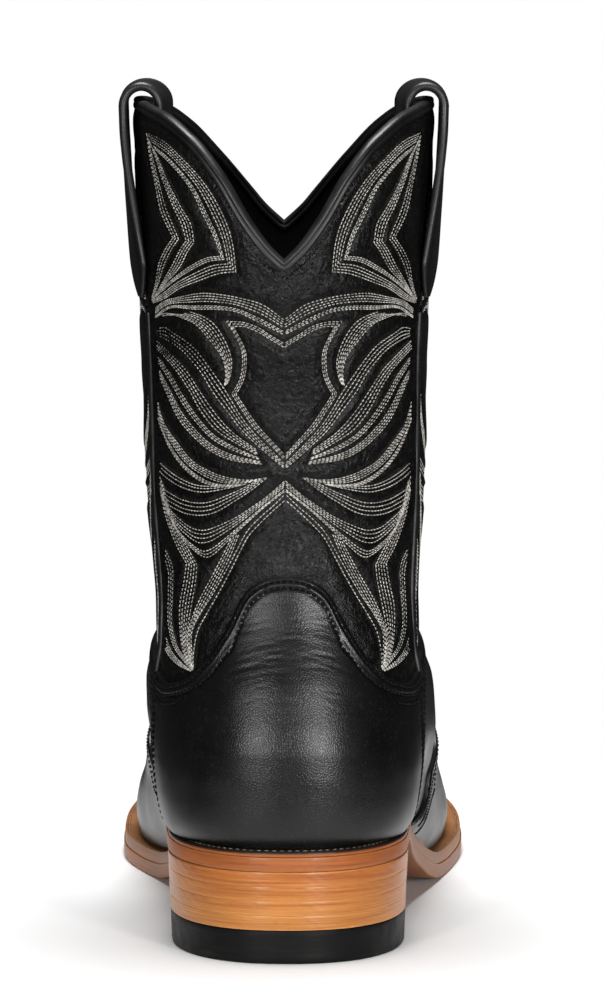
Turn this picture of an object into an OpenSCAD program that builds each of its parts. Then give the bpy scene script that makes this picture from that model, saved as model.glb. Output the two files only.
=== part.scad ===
// Western boot, right foot. Z is up, the toe points along +Y and the outer side of the foot is +X.
// The origin is on the floor under the middle of the boot.

/* [Sole and heel] */
// Length of the outsole from the back of the heel to the toe
sole_length = 308; // [290:1:325]
// Height of the heel seat above the floor
seat_height = 38; // [37:0.5:40]
// Thickness of the rubber heel cap
cap_thickness = 11.4; // [8:0.2:13]
// Thickness of the leather outsole
outsole_thickness = 5; // [4:0.5:6]
// Thickness of the welt round the forefoot
welt_thickness = 4.5; // [3.5:0.5:5]
// Thickness of the rand round the heel seat
rand_thickness = 2; // [1.9:0.1:2.4]
// Thickness of the insole
insole_thickness = 3; // [2:0.5:4]
// Width of the steel shank
shank_width = 14; // [10:1:16]
// Diameter of the heel nails and cap nails
nail_diameter = 2.2; // [1.8:0.1:2.6]

/* [Leg] */
// Height of the side peaks of the leg
peak_height = 285; // [275:1:295]
// Height of the scallop at the back
back_dip_height = 234.4; // [225:0.2:240]
// Height of the scallop at the front
front_dip_height = 237.5; // [228:0.5:242]
// Thickness of the outer leather
leather = 1.6; // [1.2:0.1:1.8]
// Thickness of the lining leather
lining = 1.1; // [0.8:0.1:1.2]
// Radius of the piping in the side seams
piping_radius = 1.5; // [1.2:0.1:1.6]

/* [Pull straps] */
// Width of each pull strap
strap_width = 26; // [20:1:28]
// Thickness of each pull strap
strap_thickness = 3.2; // [2.4:0.1:3.4]
// Height of the strap loops above the side peaks
strap_rise = 6.4; // [6.2:0.1:9]

/* [Hidden] */

// Play between layers of one body, and between a nail and its hole
layer_gap = 0.5;
// Play between the plates of the sole
sole_gap = 0.25;
nail_play = 0.05;
// Edges of the seam allowance that the piping fills, and of the plain seam under the strap
piped_seam = piping_radius + 0.3;
plain_seam = 0.3;
strap_tip_z = 217;
// Depth of the leg's top edge that the binding covers
binding_depth = 3;
underlap = 5;
lift_count = 4;

stretch = sole_length / 308;
sole_middle_x = 1.77;
place = [-sole_middle_x, -sole_length / 2, 0];

// Layers, measured outward from the outer face of the leg
shaft_in = -leather;
stiffener_out = -0.2;
stiffener_in = -1.4;
lining_out = shaft_in - 0.5;
lining_in = lining_out - lining;
upper_in = layer_gap;
upper_out = upper_in + leather;
overlay_in = upper_out + layer_gap;
overlay_out = overlay_in + 1.2;

// Top of the welt along the boot: distance from the back of the heel, height
ball_y = 200;
ball_top = outsole_thickness + welt_thickness;
SOLE_TOP = [[0, seat_height], [74, seat_height], [90, 35.2], [110, 29.2], [135, 21.5],
    [160, 14], [180, 10.3], [ball_y, ball_top], [225, ball_top], [250, 10.9], [280, 14.4], [310, 20]];

// Hoops round the upper, one row per level. Level, back, middle, front, share of the sole's drop,
// half-width at the ankle, at the ball outside and inside, waist outside and inside,
// squareness in front and behind, sideways shift
HOOPS = [
    [38, 7.8, 63, 299.2, 1, 38, 60.5, 56.5, 0, 8, 4.4, 2.3, 0],
    [43, 6.2, 64, 299, 0.92, 41.1, 60.5, 56.8, 0, 6.6, 4.2, 2.3, 0],
    [50, 5.2, 65, 295.5, 0.78, 42.6, 59, 56, 0, 4.8, 3.7, 2.3, 0],
    [56, 4.7, 66, 286, 0.66, 43.5, 58, 54.5, 0, 3.5, 3.2, 2.3, 0],
    [62, 4.4, 66, 271, 0.54, 44.1, 58, 54.5, -2, 1, 2.8, 2.3, 0],
    [69, 4.4, 67, 252, 0.42, 44.4, 57, 53, -4, -1.5, 2.5, 2.3, 0],
    [76, 5.2, 68, 233, 0.3, 44.5, 55, 51.5, -4.4, -3, 2.3, 2.25, 0],
    [84, 6.9, 69, 212, 0.19, 44.8, 53.5, 51, -3.8, -3.2, 2.2, 2.2, 0],
    [92, 8.8, 70, 191, 0.1, 44.8, 50.5, 49, -1.8, -1.8, 2.1, 2.15, -0.1],
    [102, 12, 73, 171, 0.03, 44.2, 46.5, 46, 0, 0, 2.1, 2.1, -0.2],
    [113, 15.4, 76, 158, 0, 44.2, 44.2, 44.2, 0, 0, 2.05, 2.1, -0.3],
    [127, 17.8, 78, 148.5, 0, 45.2, 45.2, 45.2, 0, 0, 2.05, 2.05, -0.5],
    [147, 19.1, 79, 141, 0, 46.8, 46.8, 46.8, 0, 0, 2.05, 2.05, -0.8],
    [168, 18.3, 79, 139, 0, 47.7, 47.7, 47.7, 0, 0, 2.05, 2.05, -1],
    [195, 14.4, 78, 141, 0, 48.3, 48.3, 48.3, 0, 0, 2.05, 2.05, -1.2],
    [240, 7.4, 77, 146, 0, 49.7, 49.7, 49.7, 0, 0, 2.05, 2.05, -1.3],
    [300, 3.4, 76, 149, 0, 50.9, 50.9, 50.9, 0, 0, 2.05, 2.05, -1.4]];

// Angle of the side seam from the middle of the back, by level
SEAM = [[38, 86], [60, 84], [81, 78], [100, 73], [130, 69], [200, 67], [225, 69], [262, 79],
    [300, 84]];
// Share of the climb from the dip to the peak, by angle from the middle of the dip
BACK_SCALLOP = [[0, 0], [6, 0.1], [14, 0.28], [25, 0.57], [38, 0.8], [55, 0.945], [74, 0.99], [90, 1]];
FRONT_SCALLOP = [[0, 0], [8, 0.13], [14, 0.255], [27, 0.516], [42, 0.764], [55, 0.89], [74, 0.975],
    [90, 1]];
// Upper edges of the counter, the vamp and the toe overlay: angle from the back, level
COUNTER_TOP = [[0, 128.5], [5, 128.1], [10, 126.8], [17, 122.8], [21, 118], [25, 111.7], [30, 105.5],
    [35, 100], [41, 95.2], [50, 91.4], [62, 89.6], [71, 91.2], [80, 95.5]];
VAMP_TOP = [[70, 91], [80, 95.5], [100, 99], [125, 104], [148, 111], [162, 120], [171, 131],
    [176, 136], [180, 137.5]];
OVERLAY_TOP = [[103, 40.5], [108, 47], [112, 54.5], [118, 65], [128, 71], [145, 73], [162, 73],
    [172, 78], [178, 85], [180, 86]];

// ---- curves through a table of rows ----
function segment_slope(t, i, c) = (t[i + 1][c] - t[i][c]) / (t[i + 1][0] - t[i][0]);
function inner_slope(a, b) = a * b <= 0 ? 0 : 2 * a * b / (a + b);
function row_slope(t, i, c) =
    i == 0 ? segment_slope(t, 0, c)
    : i == len(t) - 1 ? segment_slope(t, i - 1, c)
    : inner_slope(segment_slope(t, i - 1, c), segment_slope(t, i, c));
function row_at(t, x, i = 0) = i >= len(t) - 2 || x < t[i + 1][0] ? i : row_at(t, x, i + 1);
function hermite(p, q, m, n, h, s) =
    (2 * s * s * s - 3 * s * s + 1) * p + (s * s * s - 2 * s * s + s) * h * m
    + (3 * s * s - 2 * s * s * s) * q + (s * s * s - s * s) * h * n;
function limit(x, low, high) = min(high, max(low, x));
function curve(t, x, c = 1) =
    let (i = row_at(t, x), h = t[i + 1][0] - t[i][0], s = limit((x - t[i][0]) / h, 0, 1))
    hermite(t[i][c], t[i + 1][c], row_slope(t, i, c), row_slope(t, i + 1, c), h, s);
function ease(x) = let (s = limit(x, 0, 1)) s * s * (3 - 2 * s);
function mix(a, b, s) = a + (b - a) * s;
function unit(v) = v / norm(v);

// ---- the upper's outer face ----
HOOP_SLOPES = [for (i = [0:len(HOOPS) - 1]) [for (c = [0:12]) c == 0 ? 1 : row_slope(HOOPS, i, c)]];
function hoop(level) =
    let (i = row_at(HOOPS, level), h = HOOPS[i + 1][0] - HOOPS[i][0], s = (level - HOOPS[i][0]) / h)
    hermite(HOOPS[i], HOOPS[i + 1], HOOP_SLOPES[i], HOOP_SLOPES[i + 1], h, s);
function sole_top(y) = curve(SOLE_TOP, y / stretch);
function ring_radius(angle, m) = pow(pow(abs(cos(angle)), m) + pow(abs(sin(angle)), m), -1 / m);
function waist(u) = u < 0.7 ? pow(sin(180 * u / 0.7), 2) : 0;
function half_width(h, u, outside) =
    mix(h[5], outside ? h[6] : h[7], ease((u - 0.15) / 0.72)) - (outside ? h[8] : h[9]) * waist(u);
function face(level, angle) =
    let (h = hoop(level), rear = cos(angle) > 0, r = ring_radius(angle, rear ? h[11] : h[10]),
        u = -r * cos(angle), w = rear ? h[5] : half_width(h, u, sin(angle) > 0),
        y = stretch * (rear ? h[2] + (h[2] - h[1]) * u : h[2] + (h[3] - h[2]) * u))
    [h[12] + w * r * sin(angle), y, level - 38 + seat_height + h[4] * (sole_top(y) - seat_height)];
function out(level, angle) =
    unit(cross(face(level, angle + 0.2) - face(level, angle - 0.2),
        face(level + 0.2, angle) - face(level - 0.2, angle)));
function skin(level, angle, d) = face(level, angle) + d * out(level, angle);

// ---- edges of the panels ----
function seam(level) = curve(SEAM, level);
function from_back(angle) = angle > 180 ? 360 - angle : abs(angle);
function top_level(angle) =
    let (a = from_back(angle))
    a < 90 ? mix(back_dip_height, peak_height, curve(BACK_SCALLOP, a))
    : mix(front_dip_height, peak_height, curve(FRONT_SCALLOP, 180 - a));
function top_slope(angle) =
    let (step = face(top_level(angle + 1), angle + 1) - face(top_level(angle - 1), angle - 1))
    step[2] / norm([step[0], step[1]]);
function panel_top(angle) = top_level(angle) - (binding_depth + 0.3) * sqrt(1 + pow(top_slope(angle), 2));
function counter_top(angle) = curve(COUNTER_TOP, from_back(angle));
function vamp_top(angle) = curve(VAMP_TOP, from_back(angle));
function overlay_top(angle) = curve(OVERLAY_TOP, from_back(angle));
// Angle between the seam's middle and a panel's edge
function seam_gap(level) = mix(piped_seam, plain_seam, ease((level - strap_tip_z + 2) / 4)) * 0.95;
function back_limit(level) = seam(level) - seam_gap(level);
function front_limit(level) = seam(level) + seam_gap(level);
// Lower edge of a layer of the upper, which stays just above the sole
feather_gap = 0.6;
function feather(angle, depth = 0) =
    let (p = skin(38, angle, depth)) 38 + max(0, sole_top(p[1]) - p[2]) + feather_gap;

// ---- solids from rows of points ----
// Two layers of rows x columns of points, the inner layer first, closed round the rim
module sheet_solid(points, rows, cols) {
    layer = rows * cols;
    function at(i, j) = i * cols + j;
    quads = [for (i = [0:rows - 2]) for (j = [0:cols - 2])
        [at(i, j), at(i + 1, j), at(i + 1, j + 1), at(i, j + 1)]];
    rim = concat([for (j = [0:cols - 1]) at(0, j)], [for (i = [1:rows - 1]) at(i, cols - 1)],
        [for (j = [cols - 2:-1:0]) at(rows - 1, j)], [for (i = [rows - 2:-1:1]) at(i, 0)]);
    last = len(rim) - 1;
    outer = [for (q = quads) each [[q[0] + layer, q[1] + layer, q[2] + layer],
        [q[0] + layer, q[2] + layer, q[3] + layer]]];
    inner = [for (q = quads) each [[q[2], q[1], q[0]], [q[3], q[2], q[0]]]];
    sides = [for (k = [0:last]) let (a = rim[k], b = rim[k == last ? 0 : k + 1])
        each [[a, a + layer, b + layer], [a, b + layer, b]]];
    polyhedron(points, concat(outer, inner, sides), convexity = 8);
}

// A loft through closed rings that all have the same number of points
module loft(rings) {
    n = len(rings[0]);
    last = len(rings) - 1;
    walls = [for (i = [0:last - 1]) for (j = [0:n - 1]) let (k = (j + 1) % n)
        each [[i * n + j, (i + 1) * n + j, (i + 1) * n + k], [i * n + j, (i + 1) * n + k, i * n + k]]];
    start = [for (j = [1:n - 2]) [0, j, j + 1]];
    end = [for (j = [1:n - 2]) [last * n, last * n + j + 1, last * n + j]];
    polyhedron([for (r = rings) each r], concat(walls, start, end), convexity = 8);
}

// A panel of the upper between two side limits and two edge lines
function panel_point(low, high, left, right, s, t, depth) =
    let (a0 = mix(left(170), right(170), s), v0 = mix(low(a0, depth), high(a0), t),
        a1 = mix(left(v0), right(v0), s), v1 = mix(low(a1, depth), high(a1), t),
        a2 = mix(left(v1), right(v1), s), v2 = mix(low(a2, depth), high(a2), t))
    skin(v2, mix(left(v2), right(v2), s), depth);
module panel(low, high, left, right, rows, cols, inner, outer) {
    points = [for (d = [inner, outer]) for (i = [0:rows - 1]) for (j = [0:cols - 1])
        panel_point(low, high, left, right, j / (cols - 1), i / (rows - 1), d)];
    translate(place) sheet_solid(points, rows, cols);
}

// The foot's panels share one grid, so that their facets stay apart: columns at fixed angles, which
// only shift near the side seams, and rows counted 0 to 1 up to the overlay's edge and 1 to 2 above
FOOT_COLUMNS = [each [78:6.5:104], each [110:5:175], 180, each [185:5:250], each [256:6.5:282]];
function foot_angle(a, limit) =
    a < 104 ? 104 - (104 - a) * (104 - limit) / 26
    : a > 256 ? 256 + (a - 256) * (104 - limit) / 26 : a;
function foot_level(a, row, top, depth) =
    row <= 1 ? mix(feather(a, depth), overlay_top(a), row) : mix(overlay_top(a), top(a), row - 1);
function foot_point(column, row, top, limit, depth) =
    let (a0 = foot_angle(column, limit(70)), v0 = foot_level(a0, row, top, depth),
        a1 = foot_angle(column, limit(v0)), v1 = foot_level(a1, row, top, depth))
    skin(v1, foot_angle(column, limit(v1)), depth);
module foot_panel(columns, rows, top, limit, inner, outer) {
    points = [for (d = [inner, outer]) for (r = rows) for (c = columns) foot_point(c, r, top, limit, d)];
    translate(place) sheet_solid(points, len(rows), len(columns));
}
function columns_between(a, b) = [for (c = FOOT_COLUMNS) if (c >= a && c <= b) c];

// ---- the sole's outlines ----
// Point of the outline at an angle, grown from the feather line at the sides and at the ends; the heel
// takes only a share of the growth
function outline(angle, side, end, squarer) =
    let (h = HOOPS[0], rear = cos(angle) > 0, r = ring_radius(angle, rear ? h[11] : h[10] + squarer),
        u = -r * cos(angle), share = side < 0 ? 1 : mix(heel_share, 1, ease((u + 0.1) / 0.5)),
        w = (rear ? h[5] : half_width(h, u, sin(angle) > 0)) + side * share)
    [w * r * sin(angle), stretch * (h[2] + (rear ? (h[2] - h[1]) * u : (h[3] - h[2]) * u)) + end * u];
sole_side = 7;
sole_back = 7.8;
sole_toe = 8.8;
heel_share = 0.43;
function sole_edge(angle, inset = 0) =
    outline(angle, sole_side - inset, (cos(angle) > 0 ? sole_back : sole_toe) - inset, 1.2);
function inner_edge(angle, inset) = outline(angle, -inset, -inset, 0);
function rand_at(y) = mix(rand_thickness, welt_thickness, ease((y / stretch - 76) / 50));

// A curved plate filling an outline: rows run across the boot between mirrored angles
module plate(from, to, rows, edge, below, above) {
    rings = [for (i = [0:rows]) let (a = mix(from, to, i / rows), right = edge(a), left = edge(-a),
        y = right[1])
        [[left[0], y, below(y)], [right[0], y, below(y)], [right[0], y, above(y)],
            [left[0], y, above(y)]]];
    translate(place) loft(rings);
}

// A strip that runs round an outline between an inner and an outer edge
module strip(from, to, steps, inside, outside, below, above) {
    rings = [for (i = [0:steps]) let (a = mix(from, to, i / steps), p = inside(a), q = outside(a))
        [[p[0], p[1], below(p[1])], [q[0], q[1], below(q[1])], [q[0], q[1], above(q[1])],
            [p[0], p[1], above(p[1])]]];
    translate(place) loft([for (k = [steps:-1:0]) rings[k]]);
}

// ---- heel ----
heel_top = seat_height - rand_thickness - outsole_thickness;
lift_thickness = (heel_top - cap_thickness) / lift_count;
heel_middle = 59;
function heel_point(angle, z, inset = 0) =
    let (s = z / heel_top, r = ring_radius(angle, 2.3), w = mix(39.6, 40.9, s) - inset,
        back = mix(1, 0.3, s) + inset)
    [w * r * sin(angle), heel_middle - (heel_middle - back) * r * cos(angle), z];
heel_breast = 71.5;
function heel_ring(z) = concat(
    [for (a = [-90:7.5:90]) heel_point(a, z)],
    [[mix(39.2, 40.3, z / heel_top), heel_breast, z], [-mix(39.2, 40.3, z / heel_top), heel_breast, z]]);
module heel_slice(z0, z1) {
    translate(place) loft([heel_ring(z1), heel_ring(z0)]);
}
module at_heel_points(angles, inset) {
    for (a = angles)
        translate(place + heel_point(a, 0, inset)) children();
}
cap_nail_angles = [-90, -54, -18, 18, 54, 90];
heel_nail_angles = [-80, -40, 0, 40, 80];
cap_nail_inset = 9;
heel_nail_inset = 15;
cap_nail_end = cap_thickness + 1.4 * lift_thickness;
heel_nail_start = heel_top - 1.8 * lift_thickness;
nail_head = nail_diameter * 2;
insole_top = seat_height + sole_gap + insole_thickness;
module cap_nail(play) {
    translate([0, 0, 1]) cylinder(d = nail_head + 2 * play, h = 1.2, $fn = 24);
    translate([0, 0, 1]) cylinder(d = nail_diameter + 2 * play, h = cap_nail_end - 1 + play, $fn = 24);
}
module cap_nail_hole() {
    cap_nail(nail_play);
    translate([0, 0, -1]) cylinder(d = nail_head + 2 * nail_play, h = 3, $fn = 24);
}
module heel_nail(play) {
    translate([0, 0, insole_top - 1]) cylinder(d = nail_head + 2 * play, h = 1 + 8 * play, $fn = 24);
    translate([0, 0, heel_nail_start - play])
        cylinder(d = nail_diameter + 2 * play, h = insole_top - heel_nail_start, $fn = 24);
}
module cap_nail_holes() {
    at_heel_points(cap_nail_angles, cap_nail_inset) cap_nail_hole();
}
module heel_nail_holes() {
    at_heel_points(heel_nail_angles, heel_nail_inset) heel_nail(nail_play);
}

module heel_cap() {
    color([0.13, 0.13, 0.13]) difference() {
        heel_slice(0, cap_thickness);
        cap_nail_holes();
    }
}
// The lifts are counted upward from the cap
module heel_lift(number) {
    z0 = cap_thickness + (number - 1) * lift_thickness;
    color([0.8, 0.5, 0.27]) difference() {
        heel_slice(z0, z0 + lift_thickness);
        if (number <= 2) cap_nail_holes();
        if (number >= 3) heel_nail_holes();
    }
}
module cap_nails() {
    color([0.6, 0.6, 0.6]) at_heel_points(cap_nail_angles, cap_nail_inset) cap_nail(0);
}
module heel_nails() {
    color([0.6, 0.6, 0.6]) at_heel_points(heel_nail_angles, heel_nail_inset) heel_nail(0);
}

// ---- sole ----
function outsole_upper(y) = sole_top(y) - rand_at(y);
function welt_lower(y) = outsole_upper(y) + sole_gap;
function outsole_lower(y) = outsole_upper(y) - outsole_thickness;
// Wooden pegs in two rows through the waist of the outsole
peg_diameter = 2.2;
peg_length = 4;
peg_spots = [for (side = [-1, 1]) for (i = [0:5]) [3 + 17 * side + 0.8 * side * i, 84 + 9 * i]];
module at_pegs() {
    for (p = peg_spots)
        translate(place + [p[0], stretch * p[1], outsole_lower(stretch * p[1]) + 0.4]) children();
}
module outsole() {
    color([0.5, 0.3, 0.18]) difference() {
        plate(4, 156, 50, function(a) sole_edge(a), function(y) outsole_lower(y),
            function(y) outsole_upper(y));
        heel_nail_holes();
        at_pegs() translate([0, 0, -3]) cylinder(d = peg_diameter + 2 * nail_play, h = peg_length + 3,
            $fn = 24);
    }
}
module shank_pegs() {
    color([0.85, 0.72, 0.5]) at_pegs() cylinder(d = peg_diameter, h = peg_length - nail_play, $fn = 24);
}
welt_inset = 5;
welt_step = 0.5;
module welt() {
    color([0.78, 0.62, 0.42]) strip(87, 273, 62, function(a) inner_edge(a, welt_inset),
        function(a) sole_edge(a, welt_step), function(y) welt_lower(y), function(y) sole_top(y));
}
module heel_rand() {
    color([0.3, 0.2, 0.14]) strip(-86.6, 86.6, 34, function(a) inner_edge(a, 7),
        function(a) sole_edge(a, welt_step), function(y) welt_lower(y), function(y) sole_top(y));
}
module cork_filler() {
    color([0.72, 0.55, 0.35]) plate(108, 162, 18, function(a) inner_edge(a, welt_inset + 1),
        function(y) welt_lower(y) + sole_gap, function(y) sole_top(y));
}
module steel_shank() {
    color([0.7, 0.7, 0.72]) translate(place) loft([for (y = [30:7:128])
        let (z = sole_top(stretch * y), w = shank_width / 2)
        [[1.5 - w, stretch * y, z - 1.8], [1.5 + w, stretch * y, z - 1.8], [1.5 + w, stretch * y, z - 0.3],
            [1.5 - w, stretch * y, z - 0.3]]]);
}
insole_inset = -lining_in + 1.4;
function insole_upper(y) = sole_top(y) + sole_gap + insole_thickness;
module insole() {
    color([0.82, 0.68, 0.5]) difference() {
        plate(4, 162, 46, function(a) inner_edge(a, insole_inset), function(y) sole_top(y) + sole_gap,
            function(y) insole_upper(y));
        heel_nail_holes();
    }
}
sock_thickness = 1.2;
module heel_sock() {
    color([0.75, 0.6, 0.42]) plate(4, 4 + 28 * 158 / 46, 28, function(a) inner_edge(a, insole_inset + 1),
        function(y) insole_upper(y) + sole_gap, function(y) insole_upper(y) + sole_gap + sock_thickness);
}

// ---- linings and stiffeners ----
OVERLAY_ROWS = [for (i = [0:9]) i / 9];
lining_split = 100;
module lining_back() {
    color([0.8, 0.68, 0.52]) panel(function(a, d) feather(a, d), function(a) panel_top(a),
        function(v) -seam(v) + 0.3, function(v) seam(v) - 0.3, 20, 19, lining_in, lining_out);
}
module lining_front() {
    color([0.8, 0.68, 0.52]) panel(function(a, d) lining_split, function(a) panel_top(a),
        function(v) seam(v) + 0.3, function(v) 359.7 - seam(v), 24, 25, lining_in, lining_out);
}
module foot_lining() {
    color([0.8, 0.68, 0.52]) foot_panel(FOOT_COLUMNS, concat(OVERLAY_ROWS, [1.4, 2]),
        function(a) lining_split - 0.4, function(v) seam(v) + 0.3, lining_in, lining_out);
}
module heel_stiffener() {
    color([0.6, 0.45, 0.3]) panel(function(a, d) feather(a, d), function(a) 84 - 24 * pow(a / 66, 4),
        function(v) -66, function(v) 66, 9, 19, stiffener_in, stiffener_out);
}
module toe_puff() {
    color([0.6, 0.45, 0.3]) foot_panel(columns_between(115, 245), [for (i = [0:6]) OVERLAY_ROWS[i]],
        function(a) vamp_top(a), function(v) 78, stiffener_in, stiffener_out);
}

// ---- leather panels ----
module shaft_back() {
    color([0.17, 0.16, 0.15]) panel(function(a, d) counter_top(a) - underlap, function(a) panel_top(a),
        function(v) -back_limit(v), function(v) back_limit(v), 18, 23, shaft_in, 0);
}
module shaft_front() {
    color([0.17, 0.16, 0.15]) panel(function(a, d) vamp_top(a) - underlap, function(a) panel_top(a),
        function(v) front_limit(v), function(v) 360 - front_limit(v), 22, 25, shaft_in, 0);
}
module vamp() {
    color([0.12, 0.12, 0.12]) foot_panel(FOOT_COLUMNS, concat(OVERLAY_ROWS, [for (i = [1:6]) 1 + i / 6]),
        function(a) vamp_top(a), function(v) front_limit(v), upper_in, upper_out);
}
module toe_overlay() {
    color([0.12, 0.12, 0.12]) foot_panel(columns_between(104, 256), OVERLAY_ROWS,
        function(a) vamp_top(a), function(v) 78, overlay_in, overlay_out);
}
module counter() {
    color([0.1, 0.1, 0.1]) panel(function(a, d) feather(a, d), function(a) counter_top(a),
        function(v) -back_limit(v), function(v) back_limit(v), 12, 33, upper_in, upper_out);
}

// ---- piping and binding ----
function piping_centre(level, side) =
    skin(level, side * seam(level), mix(0.75, 0, ease((level - 88) / 14)));
module side_piping(side) {
    levels = [for (i = [0:36]) mix(41, strap_tip_z - 3, i / 36)];
    rings = [for (v = levels) let (c = piping_centre(v, side), up = unit(piping_centre(v + 0.5, side)
        - piping_centre(v - 0.5, side)), n = out(v, side * seam(v)), b = cross(up, n))
        [for (k = [0:7]) c + piping_radius * (cos(45 * k) * n + sin(45 * k) * b)]];
    color([0.16, 0.16, 0.16]) translate(place) loft([for (i = [len(rings) - 1:-1:0]) rings[i]]);
}
// Section of the bead: outward and upward from its middle
BEAD = [[1.75, -1.55], [2.1, -0.2], [1.6, 1.2], [0, 1.9], [-1.6, 1.2], [-2.1, -0.2], [-1.75, -1.55]];
bead_middle = (lining_in) / 2;
function edge_point(angle) = skin(top_level(angle), angle, bead_middle);
module top_binding(from, to, steps) {
    rings = [for (i = [0:steps]) let (a = mix(from, to, i / steps),
        along = unit(edge_point(a + 0.5) - edge_point(a - 0.5)), n = out(top_level(a), a),
        up = unit(cross(n, along)), c = edge_point(a) - (binding_depth - 1.6) * up)
        [for (p = BEAD) c + p[0] * unit(n) + p[1] * up]];
    color([0.1, 0.1, 0.1]) translate(place) loft(rings);
}

// ---- pull straps ----
arch_base = peak_height - 2;
// Point beside the leg's wall: distance along the boot, height, distance out from the wall
function wall_point(y, z, d, side, flat) =
    let (h = hoop(z), rear = y < h[2], m = rear ? h[11] : h[10],
        c = (y - h[2]) / (rear ? h[2] - h[1] : h[3] - h[2]), w = h[5],
        x = w * pow(1 - pow(abs(c), m), 1 / m),
        n = unit([pow(x / w, m - 1) / w,
            sign(c) * pow(abs(c), m - 1) / (rear ? h[2] - h[1] : h[3] - h[2])]))
    [h[12] + side * mix(x + d * n[0], w + d, flat), y + d * n[1] * (1 - flat), z];
// Height, middle along the boot, width share, thickness share, distance outside, flatness
OUTER_LEG = [[219, 55, 0.16, 0.45, 1.8, 0], [225, 57.5, 0.6, 0.6, 1.9, 0], [232, 60, 0.95, 0.75, 2, 0.05],
    [243, 62.5, 1, 0.9, 2.2, 0.25], [255, 65, 1, 1, 2.6, 0.55], [266, 67.5, 1, 1, 3.1, 0.85],
    [276, 69.4, 1, 1, 3.5, 1], [283, 70, 1, 1, 3.6, 1]];
// Height, middle along the boot, width share, distance inside, yaw share
INNER_LEG = [[283, 70, 1, 8.6, 1], [276, 69.4, 1, 8.5, 0.95], [266, 68, 1, 8.1, 0.8],
    [255, 66, 1, 7.4, 0.5], [244, 64, 1, 6.5, 0.2], [234, 62, 1, 6, 0]];
yaw_depth = 3;
half_steps = [-0.5, -0.25, 0, 0.25, 0.5];
function leg_ring(z, middle, width, thickness, outer, inner, side) = concat(
    [for (k = half_steps) wall_point(middle + k * width, z, outer(k), side, thickness[1])],
    [for (i = [4:-1:0]) let (k = half_steps[i])
        wall_point(middle + k * width, z, inner(k), side, thickness[1])]);
function outer_ring(r, side) =
    let (half = r[3] * strap_thickness / 2)
    leg_ring(r[0], r[1], r[2] * strap_width, [half, r[5]], function(k) r[4] + half,
        function(k) r[4] - half, side);
function inside_at(r, k) = -r[3] - yaw_depth * r[4] * (k + 0.5);
function inner_ring(r, side) =
    let (half = strap_thickness / 2)
    leg_ring(r[0], r[1], r[2] * strap_width, [half, r[4]], function(k) inside_at(r, k) - half,
        function(k) inside_at(r, k) + half, side);
function arch_ring(angle, side) =
    let (o = OUTER_LEG[len(OUTER_LEG) - 1], r = INNER_LEG[0], half = strap_thickness / 2,
        rise = peak_height + strap_rise - arch_base - half)
    concat([for (k = half_steps) arch_point(angle, side, k, o, r, rise, half)],
        [for (i = [4:-1:0]) arch_point(angle, side, half_steps[i], o, r, rise, -half)]);
function arch_point(angle, side, k, o, r, rise, half) =
    let (reach = (o[4] - inside_at(r, k)) / 2, middle = (o[4] + inside_at(r, k)) / 2,
        d = middle + (reach + half) * cos(angle), z = arch_base + (rise + half) * sin(angle),
        p = wall_point(o[1] + k * strap_width, arch_base, d, side, 1))
    [p[0], p[1], z];
module pull_strap(side) {
    rings = concat([for (r = OUTER_LEG) outer_ring(r, side)],
        [for (a = [20:20:160]) arch_ring(a, side)],
        [for (r = INNER_LEG) inner_ring(r, side)]);
    ordered = side > 0 ? rings : [for (r = rings) [for (i = [len(r) - 1:-1:0]) r[i]]];
    color([0.08, 0.08, 0.08]) translate(place) loft(ordered);
}

heel_cap();
heel_lift(1);  // heel_lift_1
heel_lift(2);  // heel_lift_2
heel_lift(3);  // heel_lift_3
heel_lift(4);  // heel_lift_4
cap_nails();
heel_nails();
outsole();
shank_pegs();
welt();
heel_rand();
cork_filler();
steel_shank();
insole();
heel_sock();
lining_back();
lining_front();
foot_lining();
heel_stiffener();
toe_puff();
shaft_back();
shaft_front();
vamp();
toe_overlay();
counter();
side_piping(-1);  // side_piping_left
side_piping(1);  // side_piping_right
top_binding(-84, 84, 48);  // top_binding_back
top_binding(84.4, 275.6, 48);  // top_binding_front
pull_strap(-1);  // pull_strap_left
pull_strap(1);  // pull_strap_right
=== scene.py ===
"""Western boot: the looks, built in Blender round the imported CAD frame.

Shapes are worked out in millimetres from the back of the heel (x to the outer side of the foot, y to the
toe, z up), with the same hoops as the CAD, and go to metres in the row frame when a mesh is made.
"""
import math

import bpy
import numpy as np
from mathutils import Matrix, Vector
from mathutils.kdtree import KDTree


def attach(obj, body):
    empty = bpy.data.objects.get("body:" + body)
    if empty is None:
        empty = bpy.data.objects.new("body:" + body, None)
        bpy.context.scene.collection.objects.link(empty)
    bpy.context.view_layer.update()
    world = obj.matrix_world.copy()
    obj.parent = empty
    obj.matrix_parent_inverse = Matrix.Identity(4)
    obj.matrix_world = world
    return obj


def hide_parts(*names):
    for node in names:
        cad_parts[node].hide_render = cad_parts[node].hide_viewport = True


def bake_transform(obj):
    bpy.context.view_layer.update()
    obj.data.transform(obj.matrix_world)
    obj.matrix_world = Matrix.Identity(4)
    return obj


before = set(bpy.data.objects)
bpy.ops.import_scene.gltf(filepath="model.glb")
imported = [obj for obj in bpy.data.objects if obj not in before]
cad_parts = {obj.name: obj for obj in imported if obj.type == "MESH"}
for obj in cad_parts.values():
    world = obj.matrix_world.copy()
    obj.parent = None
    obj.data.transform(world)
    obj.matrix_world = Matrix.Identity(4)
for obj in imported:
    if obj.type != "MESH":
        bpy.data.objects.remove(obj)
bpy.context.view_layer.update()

MM = 0.001
SOLE_MIDDLE_X = 1.77
SOLE_LENGTH = 308
PLACE = np.array([-SOLE_MIDDLE_X, -SOLE_LENGTH / 2, 0])

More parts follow.
